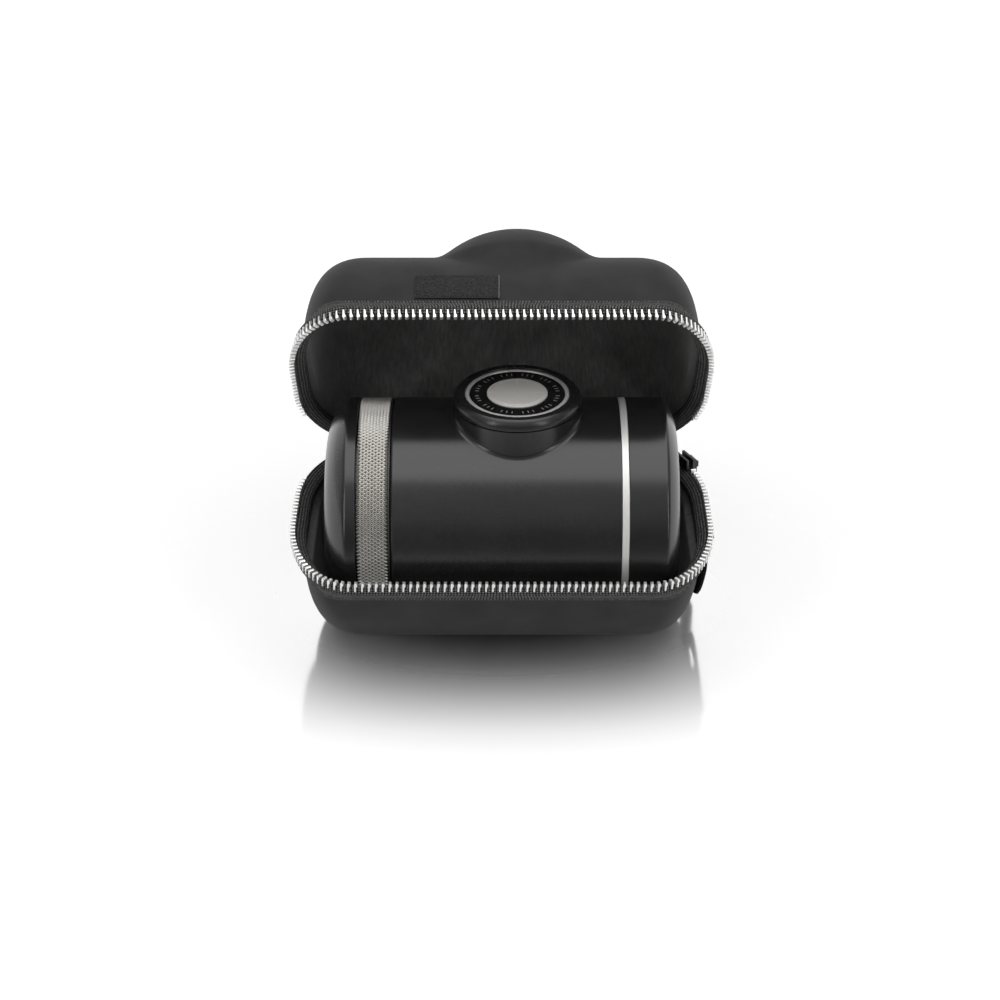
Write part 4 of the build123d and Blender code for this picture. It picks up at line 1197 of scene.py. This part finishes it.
# %% [markdown]
# ## Zip tape
# The woven tape holds the teeth along its edge. Below them it parts into two legs: the outer
# one is glued over the shell, and the inner one is folded in over the lip and sewn down on the
# lining. Its section is therefore a fork, and one closed loop of rings draws the whole of it.

# %% Tape
TAPE = 0.6
TAPE_TOP = 1.0
TAPE_FOOT = 8.5
TAPE_STEPS = 10
TAPE_EDGE = 0.15                 # how far the end of a leg bulges out
TAPE_LIMIT = radians(50)
# sections as (level, inset): the leg that folds in over the lip, its sewn end, counted from the
# lining's skin, and the gap between the legs
FOLDED_LEG = [(1.1, 1.2), (1.25, 1.9), (1.5, 2.6), (1.8, 3.3), (2.2, 3.9), (2.8, 4.4),
              (3.5, 4.4), (4.2, 4.0)]
SEWN_END = [(4.8, 0.5), (5.2, 0.05), (5.35, -0.2), (4.5, -0.75), (3.8, -1.5)]
LEG_GAP = [(3.3, 0.85), (3.6, TAPE), (6.0, TAPE)]


def tape(name, place, half, lining_inset, body, node):
    """Zip tape of a half, as a loop of (level, inset) round its forked section."""
    section = [(level, 0.0) for level in skin_levels(TAPE_FOOT, TAPE_TOP, TAPE_STEPS)]
    section += [(TAPE_TOP - TAPE_EDGE, TAPE / 2), (TAPE_TOP, TAPE)] + FOLDED_LEG
    section += [(level, lining_inset + off) for level, off in SEWN_END] + LEG_GAP
    section += [(TAPE_FOOT, TAPE), (TAPE_FOOT + TAPE_EDGE, TAPE / 2)]
    rings = [case_ring(place, half, level, inset) for level, inset in section]
    add_piece(name, mesh_from_rings(name, rings, closed=True), tape_weave, body,
              node, limit=TAPE_LIMIT)


tape("base_tape", on_base, BASE_HALF, BASE_LINING[1], "case_base", "base_zip_tape")
tape("lid_tape", on_lid, LID_HALF, LID_LINING[1], "case_lid", "lid_zip_tape")

# %% [markdown]
# ## Zip teeth and stitches
# Both are one small shape repeated along a line, so one node tree serves them: it measures
# equal steps along a curve, turns each copy with the curve, and points it into the half. The
# two rows of teeth are half a pitch apart, so that they would mesh when the case is closed.


# %% Tree: a row along a line
def build_row_tree():
    """Count copies of Item along the curve, a Pitch apart, with their Z towards Inward."""
    tree, given, result = start_geometry("row_along_line", {
        "Item": ("Object", None), "Inward": ("Vector", None), "Pitch": ("Float", 2 * MM),
        "Shift": ("Float", 0.0), "Count": ("Int", 100)})
    points = node_out(tree, "GeometryNodePoints", "Points", inputs={"Count": given["Count"]})
    index = node_out(tree, "GeometryNodeInputIndex", "Index")
    way = product(tree, plus(tree, index, given["Shift"]), given["Pitch"])
    spot = add_node(tree, "GeometryNodeSampleCurve", mode="LENGTH",
                    inputs={"Curves": given["Geometry"], "Length": way}).outputs
    placed = node_out(tree, "GeometryNodeSetPosition", "Geometry",
                      inputs={"Geometry": points, "Position": spot["Position"]})
    turned = align(tree, "Z", given["Inward"], "X", align(tree, "X", spot["Tangent"]))
    item = node_out(tree, "GeometryNodeObjectInfo", "Geometry", inputs={"Object": given["Item"]})
    instances = node_out(tree, "GeometryNodeInstanceOnPoints", "Instances",
                         inputs={"Points": placed, "Instance": item, "Rotation": turned})
    finish_tree(tree, given, result, instances)
    return tree


row_tree = build_row_tree()


# %% Row of copies
def line_curve(name, points, ring=False):
    """Straight-edged curve through points, joined to its start if it is a ring."""
    curve = bpy.data.curves.new(name, "CURVE")
    curve.dimensions = "3D"
    spline = curve.splines.new("POLY")
    spline.points.add(len(points) - 1)
    for knot, point in zip(spline.points, points):
        knot.co = (*point, 1)
    spline.use_cyclic_u = ring
    return curve


def line_length(points, ring=False):
    """Length of a line through points, and back to its start if it is a ring."""
    after = points[1:] + points[:1] if ring else points[1:]
    return sum((second - first).length for first, second in zip(points, after))


def row(name, points, item_mesh, material, inward, pitch, count, shift=0.0, ring=False):
    """A mesh of copies of one small mesh along a line."""
    item = bpy.data.objects.new(name + "_item", item_mesh)
    scene.collection.objects.link(item)
    mesh = grow(name, row_tree, line_curve(name, points, ring), material, Item=item,
                Inward=inward, Pitch=pitch, Shift=shift, Count=count)
    bpy.data.objects.remove(item)
    print(name, count, "copies")
    return mesh


def even_ring(name, points, item_mesh, material, inward, rough_pitch):
    """Copies right round a ring, a whole number of them, near a pitch in millimetres."""
    length = line_length(points, ring=True)
    count = int(length / MM / rough_pitch)
    return row(name, points, item_mesh, material, inward, length / count, count, ring=True)


# %% One tooth
TOOTH_DEPTH = 1.7
TOOTH_OUTLINE = ((0.25, 2.0), (0.25, -0.5), (0.12, -0.7), (-0.5, -0.7), (-0.72, -0.4),
                 (-0.68, 0.15), (-0.25, 0.5), (-0.25, 2.0))
TOOTH_EDGE = 0.09


def tooth_mesh():
    """Pressed tooth: a leg that grips the tape, and a wider head at the zip line."""
    work = bmesh.new()
    front, back = [[work.verts.new((x * MM, y * MM, z * MM)) for x, z in TOOTH_OUTLINE]
                   for y in (-TOOTH_DEPTH / 2, TOOTH_DEPTH / 2)]
    work.faces.new(front)
    work.faces.new(back[::-1])
    for index, corner in enumerate(front):
        after = (index + 1) % len(front)
        work.faces.new((corner, back[index], back[after], front[after]))
    bmesh.ops.bevel(work, geom=work.edges[:], offset=TOOTH_EDGE * MM, segments=1,
                    affect="EDGES")
    bmesh.ops.recalc_face_normals(work, faces=work.faces)
    return finished_mesh("tooth", work)


# %% Rows of teeth
ZIP_PITCH = 2.05
ZIP_END = 26.0
BASE_SHIFT, LID_SHIFT = 0.25, 0.75       # starts of the two rows, in pitches


def zip_line(place):
    """The zip line of a half, from its right back corner round the front to the left one."""
    length, depth, corner_x, corner_y = case_size(0, BASE_HALF, TAPE / 2)
    outline = rim_outline(length, depth, corner_x, corner_y)
    past = [index for index, point in enumerate(outline) if point.y >= ZIP_END]
    lean = (ZIP_END - depth + corner_y) / corner_y
    end_x = length - corner_x + corner_x * sqrt(1 - lean * lean)
    kept = outline[past[-1] + 1:] + outline[:past[0]]
    line = [(end_x, ZIP_END)] + [tuple(point) for point in reversed(kept)] + [(-end_x, ZIP_END)]
    return [place(x, y, 0) for x, y in line]


INTO_BASE = Vector((0, 0, -1))
INTO_LID = Vector((0, sin(LID_OPEN), cos(LID_OPEN)))
tooth = tooth_mesh()
for name, place, inward, shift, body, node in (
        ("base_teeth", on_base, INTO_BASE, BASE_SHIFT, "case_base", "base_zip_teeth"),
        ("lid_teeth", on_lid, INTO_LID, LID_SHIFT, "case_lid", "lid_zip_teeth")):
    line = zip_line(place)
    teeth_count = int(line_length(line) / MM / ZIP_PITCH) - 1
    teeth = row(name, line, tooth, zip_zinc, inward, ZIP_PITCH * MM, teeth_count, shift)
    add_piece(name, teeth, zip_zinc, body, node)

# %% Stitches on the tape
STITCH_LENGTH = 2.0
STITCH_WIDTH = 0.42
STITCH_PITCH = 2.7
STITCH_FORM = ((-0.5, 0), (-0.42, 0.7), (-0.15, 1), (0.15, 1), (0.42, 0.7), (0.5, 0))
STITCH_SIDES = 6
STITCH_LIMIT = radians(70)
OUTER_LEVEL, INNER_LEVEL = 7.6, 4.6
INNER_SINK = 0.35


def stitch_mesh(length, width):
    """One stitch of thread: a thin spindle along X."""
    rings = []
    for along, swell in STITCH_FORM:
        rings.append([(along * length * MM,
                       swell * width / 2 * MM * cos(2 * pi * side / STITCH_SIDES),
                       swell * width / 2 * MM * sin(2 * pi * side / STITCH_SIDES))
                      for side in range(STITCH_SIDES)])
    return mesh_from_rings("stitch", rings)


def tape_stitches(name, place, half, inward, level, inset, body):
    """A row of stitches right round a half."""
    mesh = even_ring(name, case_ring(place, half, level, inset),
                     stitch_mesh(STITCH_LENGTH, STITCH_WIDTH), thread_dark, inward, STITCH_PITCH)
    add_piece(name, mesh, thread_dark, body, limit=STITCH_LIMIT)


for label, place, half, inward, lining_inset, body in (
        ("base", on_base, BASE_HALF, INTO_BASE, BASE_LINING[1], "case_base"),
        ("lid", on_lid, LID_HALF, INTO_LID, LID_LINING[1], "case_lid")):
    tape_stitches(label + "_outer_stitches", place, half, inward, OUTER_LEVEL, 0.0, body)
    tape_stitches(label + "_inner_stitches", place, half, inward, INNER_LEVEL,
                  lining_inset - INNER_SINK, body)

# %% [markdown]
# ## Straps and label
# A strap is a path with a width: at each step across the width the path is repeated, a little
# above and below its line, and the two outermost steps draw together into a woven edge. The
# hinge is such a strap, sewn to both halves.

# %% Ribbon
RIBBON_EDGE = [(0.96, 1.0), (0.985, 0.75), (1.0, 0.0)]   # (place across, fullness)
RIBBON_SECTION = ([(-place, full) for place, full in RIBBON_EDGE[::-1]]
                  + [(step / 5, 1.0) for step in range(-4, 5)] + RIBBON_EDGE)


def ribbon(name, path, across, half_width, thickness, widths=None):
    """Flat woven strap along a path; widths narrows it at each point of the path."""
    side = Vector(across)
    last = len(path) - 1
    normals = [(path[min(index + 1, last)] - path[max(index - 1, 0)]).cross(side).normalized()
               for index in range(last + 1)]
    widths = widths or [1.0] * (last + 1)
    rings = []
    for place, fullness in RIBBON_SECTION:
        middle = [point + side * half_width * MM * place * width
                  for point, width in zip(path, widths)]
        lift = [normal * thickness / 2 * MM * fullness for normal in normals]
        rings.append([spot + up for spot, up in zip(middle, lift)]
                     + [spot - up for spot, up in zip(middle[::-1], lift[::-1])])
    return mesh_from_rings(name, rings)


# %% Fabric hinge
STRIP_HALF_LENGTH = 28.0
STRIP_THICKNESS = 0.6
STRIP_TOP, STRIP_FOOT = 1.0, 8.0
STRIP_OFF = 0.55                 # from the tape to the middle of the strip
STRIP_STEPS = 8
STRIP_LIMIT = radians(60)


def back_of(place, half, level):
    """A point at the back of a half, on the middle of the hinge strip."""
    return place(0, case_size(level, half, 0)[1] + STRIP_OFF, level)


base_part = [back_of(on_base, BASE_HALF, level)
             for level in skin_levels(STRIP_FOOT, STRIP_TOP, STRIP_STEPS)]
lid_part = [back_of(on_lid, LID_HALF, level)
            for level in skin_levels(STRIP_TOP, STRIP_FOOT, STRIP_STEPS)]
fold = [base_part[-1].lerp(lid_part[0], share) for share in (0.25, 0.5, 0.75)]
hinge_path = base_part + fold + lid_part
hinge_mesh = ribbon("hinge_fabric", hinge_path, (1, 0, 0), STRIP_HALF_LENGTH, STRIP_THICKNESS)
hinge_fabric = add_piece("hinge_fabric", hinge_mesh, tape_weave,
                         node="hinge_strip", limit=STRIP_LIMIT)
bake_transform(hinge_fabric)

# %% Label
LABEL_MIDDLE = -13.55
LABEL_HALF_WIDTH = 12.65
LABEL_RADIUS = 38.62
LABEL_THICKNESS = 0.4
LABEL_ARC = (12.0, 27.5)
LABEL_STEPS = 12


def on_lid_round(x, turn, radius):
    """A point on the round front of the lid, turn degrees up from the zip line."""
    return on_lid(x, -radius * cos(radians(turn)), RIM_DROP + radius * sin(radians(turn)))


def label_arc(x, radius, trim=0.0):
    """Points up the lid at x, trim degrees inside both ends of the label."""
    low, high = LABEL_ARC[0] + trim, LABEL_ARC[1] - trim
    return [on_lid_round(x, low + (high - low) * step / LABEL_STEPS, radius)
            for step in range(LABEL_STEPS + 1)]


label_path = label_arc(LABEL_MIDDLE, LABEL_RADIUS)
label_mesh = ribbon("label_patch", label_path, (1, 0, 0), LABEL_HALF_WIDTH, LABEL_THICKNESS)
label = add_piece("label_patch", label_mesh, label_weave, "case_lid",
                  "woven_label")

# %% Edge and stitches of the label
EDGE_THREAD = 0.12
EDGE_THICKNESS = 0.3
EDGE_OFF = 0.1
HEM_INSET = 0.7
HEM_TRIM = 1.0                   # degrees that the hem stops short of both ends
HEM_STITCH = (0.85, 0.2)
HEM_PITCH = 1.1
edge_path = label_arc(LABEL_MIDDLE + LABEL_HALF_WIDTH + EDGE_OFF, LABEL_RADIUS + EDGE_OFF)
add_piece("label_edge", ribbon("label_edge", edge_path, (1, 0, 0), EDGE_THREAD, EDGE_THICKNESS),
          thread_pale, "case_lid")
hem_x = LABEL_HALF_WIDTH - HEM_INSET
hem_right, hem_left = [
    label_arc(LABEL_MIDDLE + off, LABEL_RADIUS + LABEL_THICKNESS / 2, HEM_TRIM)
    for off in (hem_x, -hem_x)]
hem_mesh = even_ring("label_stitches", hem_right + hem_left[::-1], stitch_mesh(*HEM_STITCH),
                     thread_dark, INTO_LID, HEM_PITCH)
add_piece("label_stitches", hem_mesh, thread_dark, "case_lid",
          limit=STITCH_LIMIT)

# %% Path of the webbing loop
LOOP_HALF_WIDTH = 8.5
LOOP_THICKNESS = 3.2
WEBBING = 0.9
LOOP_CLEARANCE = 0.15
LOOP_TOP, LOOP_FOOT = 4.5, 28.0
LOOP_SPREAD = 12.0
STRAND_STEPS, BEND_STEPS = 14, 8
BEND_HEIGHT = 2.4
BEND_FULLNESS = 1.6              # a fold hangs lower than a half circle


def loop_strand(levels, top_off, off):
    """Points down the end wall of the base, top_off mm from it at the top and off mm below."""
    points = []
    for level in levels:
        share = min(1.0, (level - LOOP_TOP) / LOOP_SPREAD)
        away = LOOP_CLEARANCE + top_off + (off - top_off) * share * share * (3 - 2 * share)
        points.append(on_base(case_size(level, BASE_HALF, 0)[0] + away, 0, level))
    return points


strand_levels = skin_levels(LOOP_TOP, LOOP_FOOT - BEND_HEIGHT, STRAND_STEPS)
inner_off, outer_off = WEBBING / 2, LOOP_THICKNESS - WEBBING / 2
inner_strand = loop_strand(strand_levels, inner_off, inner_off)
outer_strand = loop_strand(strand_levels, inner_off + WEBBING, outer_off)
bend_middle = (inner_strand[-1] + outer_strand[-1]) / 2
bend_radius = (outer_strand[-1] - inner_strand[-1]).length / 2
bend = [bend_middle + Vector((-bend_radius * cos(turn), 0,
                              -BEND_FULLNESS * bend_radius * sin(turn)))
        for turn in (pi * step / BEND_STEPS for step in range(1, BEND_STEPS))]
loop_path = inner_strand + bend + outer_strand[::-1]
print("loop path", round(line_length(loop_path) / MM, 1), "mm")

# %% Webbing loop
LOOP_CORNER = 5.0
lowest = min(point.z for point in loop_path)
loop_widths = []
for point in loop_path:
    drop = max(0.0, 1 - (point.z - lowest) / (LOOP_CORNER * MM))
    loop_widths.append(1 - LOOP_CORNER / LOOP_HALF_WIDTH * (1 - sqrt(1 - drop * drop)))
loop_mesh = ribbon("webbing_loop", loop_path, (0, 1, 0), LOOP_HALF_WIDTH, WEBBING, loop_widths)
add_piece("webbing_loop", loop_mesh, webbing, "loop", "side_loop")

# %% [markdown]
# ## Zip slider and pull
# The slider is cast zinc, so every edge is soft. Its CAD solid has the right shape but sharp
# edges; a copy with merged corners and a small bevel on each sharp edge catches the light as
# the casting does.

# %% Slider and pull
CAST_EDGE = 0.18
FLAT_ANGLE, SHARP_ANGLE = radians(2), radians(40)


def cast_copy(node, width):
    """A CAD node's mesh with its flat faces joined and its sharp edges rounded."""
    work = bmesh.new()
    work.from_mesh(merged_copy(node))
    bmesh.ops.dissolve_limit(work, angle_limit=FLAT_ANGLE, verts=work.verts, edges=work.edges)
    edges = [edge for edge in work.edges
             if len(edge.link_faces) == 2 and edge.calc_face_angle() > SHARP_ANGLE]
    bmesh.ops.bevel(work, geom=edges, offset=width * MM, segments=2, affect="EDGES",
                    clamp_overlap=True)
    return finished_mesh(node + "_cast", work)


for name, node, body in (("cast_slider", "zip_slider", "case_base"),
                         ("cast_pull", "zip_pull", "pull")):
    add_piece(name, cast_copy(node, CAST_EDGE), gunmetal, body, node)

# %% [markdown]
# ## Working parts inside
# The pump, the basket, the valves and the seals show only when the maker is opened. Their CAD
# shapes are right as they are, so each only gets its finish.

# %% Finishes of the inner parts
INNER_FINISHES = (
    (inner_steel, ("basket", "shower_plate")),
    (pump_steel, ("pump_liner", "piston_rod", "return_spring")),
    (inner_plastic, ("portafilter", "guide_bush", "piston_head")),
    (rubber, ("piston_seal", "outlet_valve", "inlet_valve", "chamber_gasket", "tank_lid_seal")),
)
for finish, names in INNER_FINISHES:
    for name in names:
        for material_slot in nodes[name].material_slots:
            material_slot.material = finish
    print(finish.name, names)

# %% [markdown]
# ## Floor
# The floor is plain and almost white, like a sheet of acrylic. It keeps a soft shadow, and a
# faint reflection of the case that fades with distance. What it lacks to look white it gives
# off as a glow that only the camera and reflections see, so the object gets no extra light.
# Reflections also see it go dark towards the camera, where a studio would lay a black cloth.

# %% Values of the floor
WHITE, BLACK = (1, 1, 1, 1), (0, 0, 0, 1)
FLOOR_PAINT = (0.93, 0.93, 0.93, 1)
FLOOR_SIZE = 6.0
FLOOR_LEVEL = -0.0004
# each effect of the floor as (reach in metres, strength): both run from the first to the second
GLOW = ((0.15, 0.8), (0.32, 0.85))
MIRROR = ((0.02, 0.1), (0.98, 0.0))
DUSK = ((-0.06, -0.22), (0.0, 0.85))
MIRROR_OVAL = {"Location": (0, -0.01, 0), "Scale": (0.62, 1, 0)}
MIRROR_ROUGHNESS = 0.1
print("floor glow", GLOW[1], "mirror", MIRROR[1])


# %% Helpers for shaders by kind of ray
def ray_share(tree, *kinds):
    """1 for rays of the named kinds and 0 for all others."""
    paths = tree.nodes.new("ShaderNodeLightPath")
    total = 0.0
    for kind in kinds:
        total = plus(tree, total, paths.outputs[kind])
    return math_node(tree, "MINIMUM", total, 1.0)


def length_of(tree, vector):
    """The length of a vector."""
    return node_out(tree, "ShaderNodeVectorMath", "Value", operation="LENGTH", inputs={0: vector})


def mix_shaders(tree, factor, first, second):
    """Two shaders mixed by a factor."""
    return node_out(tree, "ShaderNodeMixShader", "Shader",
                    inputs={"Fac": factor, 1: first, 2: second})


# %% Acrylic
def floor_acrylic():
    """White acrylic with a glow, an oval mirror under the case and a dark front."""
    material, tree, shader, place = start_material(
        "floor_acrylic", roughness=0.9, Specular_IOR_Level=0.0, Base_Color=FLOOR_PAINT,
        Emission_Color=WHITE)
    seen = ray_share(tree, "Is Camera Ray", "Is Glossy Ray", "Is Transmission Ray")
    glow = remap(tree, length_of(tree, place["Object"]), *GLOW)
    tree.links.new(product(tree, seen, glow), shader.inputs["Emission Strength"])
    oval = node_out(tree, "ShaderNodeMapping", "Vector",
                    inputs={"Vector": place["Object"], **MIRROR_OVAL})
    fade = remap(tree, length_of(tree, oval), *MIRROR, interpolation_type="SMOOTHSTEP")
    mirror = node_out(tree, "ShaderNodeBsdfGlossy", "BSDF",
                      inputs={"Color": WHITE, "Roughness": MIRROR_ROUGHNESS})
    polished = mix_shaders(tree, fade, shader.outputs["BSDF"], mirror)
    dusk = remap(tree, axes_of(tree, place["Object"])["Y"], *DUSK)
    dark = node_out(tree, "ShaderNodeBsdfDiffuse", "BSDF", inputs={"Color": BLACK})
    dimmed = mix_shaders(tree, product(tree, ray_share(tree, "Is Glossy Ray"), dusk),
                         polished, dark)
    tree.links.new(dimmed, tree.nodes["Material Output"].inputs["Surface"])
    return material


# %% Floor
floor_mesh = bpy.data.meshes.new("floor")
half_floor = FLOOR_SIZE / 2
floor_corners = [(x * half_floor, y * half_floor, FLOOR_LEVEL)
                 for x, y in ((-1, -1), (1, -1), (1, 1), (-1, 1))]
floor_mesh.from_pydata(floor_corners, [], [(0, 1, 2, 3)])
floor = bpy.data.objects.new("floor", floor_mesh)
floor_mesh.materials.append(floor_acrylic())
scene.collection.objects.link(floor)
floor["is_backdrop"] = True
print("floor", FLOOR_SIZE, "m wide")

# %% [markdown]
# ## Lights
# On a dark satin object the reflection of a light draws more of the form than its light does.
# One big box overhead gives the long highlight on the cylinder, and a weak one in front lifts
# the shadows. Low cards at both sides show in the ends of the maker, and two tall, narrow and
# bright ones draw the fine lines on its edges.

# %% Lights
# name, place, target, width, depth and radiance
SOFT_BOXES = [
    ("overhead_box", (0, -0.05, 1.05), (0, -0.05, 0), 1.5, 1.15, 1.8),
    ("front_box", (0, -1.6, 0.75), (0, 0, 0.04), 1.4, 0.7, 0.06)]
for side in (-1, 1):
    SOFT_BOXES += [
        ("side_card", (side * 0.7, 0.12, 0.16), (0, 0, 0.05), 0.25, 0.3, 0.5),
        ("edge_card", (side * 0.7, -0.72, 0.4), (0, 0, 0.05), 0.16, 0.75, 4.5)]


def soft_box(name, place, target, width, depth, radiance):
    """Area light of a given radiance, aimed at a target."""
    data = bpy.data.lights.new(name, "AREA")
    data.shape = "RECTANGLE"
    data.size, data.size_y = width, depth
    data.energy = radiance * pi * width * depth
    box = bpy.data.objects.new(name, data)
    box.location = place
    aim = Vector(target) - Vector(place)
    box.rotation_euler = aim.to_track_quat("-Z", "Y").to_euler()
    scene.collection.objects.link(box)
    print(name, round(data.energy, 2), "W")


for values in SOFT_BOXES:
    soft_box(*values)

# %% [markdown]
# ## Surround
# The world does what white and black cloths do in a studio. The camera sees white, diffuse
# surfaces get only a dim fill, and gloss sees a room that is pale above and white behind the
# object, but dim on the camera's side. One plain white world would be simpler, and would wash
# out every dark finish.

# %% Surround
FILL = 0.12
ROOM = ((0.0, 0.8), (0.14, 0.66))     # brightness by the height of a direction
BEHIND = ((0.25, 0.5), (0.0, 1.0))    # and by how far it points backwards
world = bpy.data.worlds.new("surround")
scene.world = world
world.use_nodes = True
world_tree = world.node_tree


def backdrop(strength):
    """A plain white background of some strength."""
    return node_out(world_tree, "ShaderNodeBackground", "Background",
                    inputs={"Color": WHITE, "Strength": strength})


direction = axes_of(world_tree, node_out(world_tree, "ShaderNodeTexCoord", "Object"))
mirrored = math_node(world_tree, "MAXIMUM", remap(world_tree, direction["Z"], *ROOM),
                     remap(world_tree, direction["Y"], *BEHIND))
reflected = mix_shaders(world_tree, ray_share(world_tree, "Is Glossy Ray"), backdrop(FILL),
                        backdrop(mirrored))
shown = mix_shaders(world_tree, ray_share(world_tree, "Is Camera Ray", "Is Transmission Ray"),
                    reflected, backdrop(1.0))
world_tree.links.new(shown, world_tree.nodes["World Output"].inputs["Surface"])
world_tree.nodes.remove(world_tree.nodes["Background"])
print("world nodes", len(world_tree.nodes))

# %% [markdown]
# ## Sizes
# The boxes of the dressed model and of the CAD model are printed side by side.

# %% Finish
dressed_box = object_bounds()
for name, box in (("cad", cad_box), ("visual", dressed_box)):
    print(name, [round((high - low) / MM, 1) for low, high in zip(*box)])
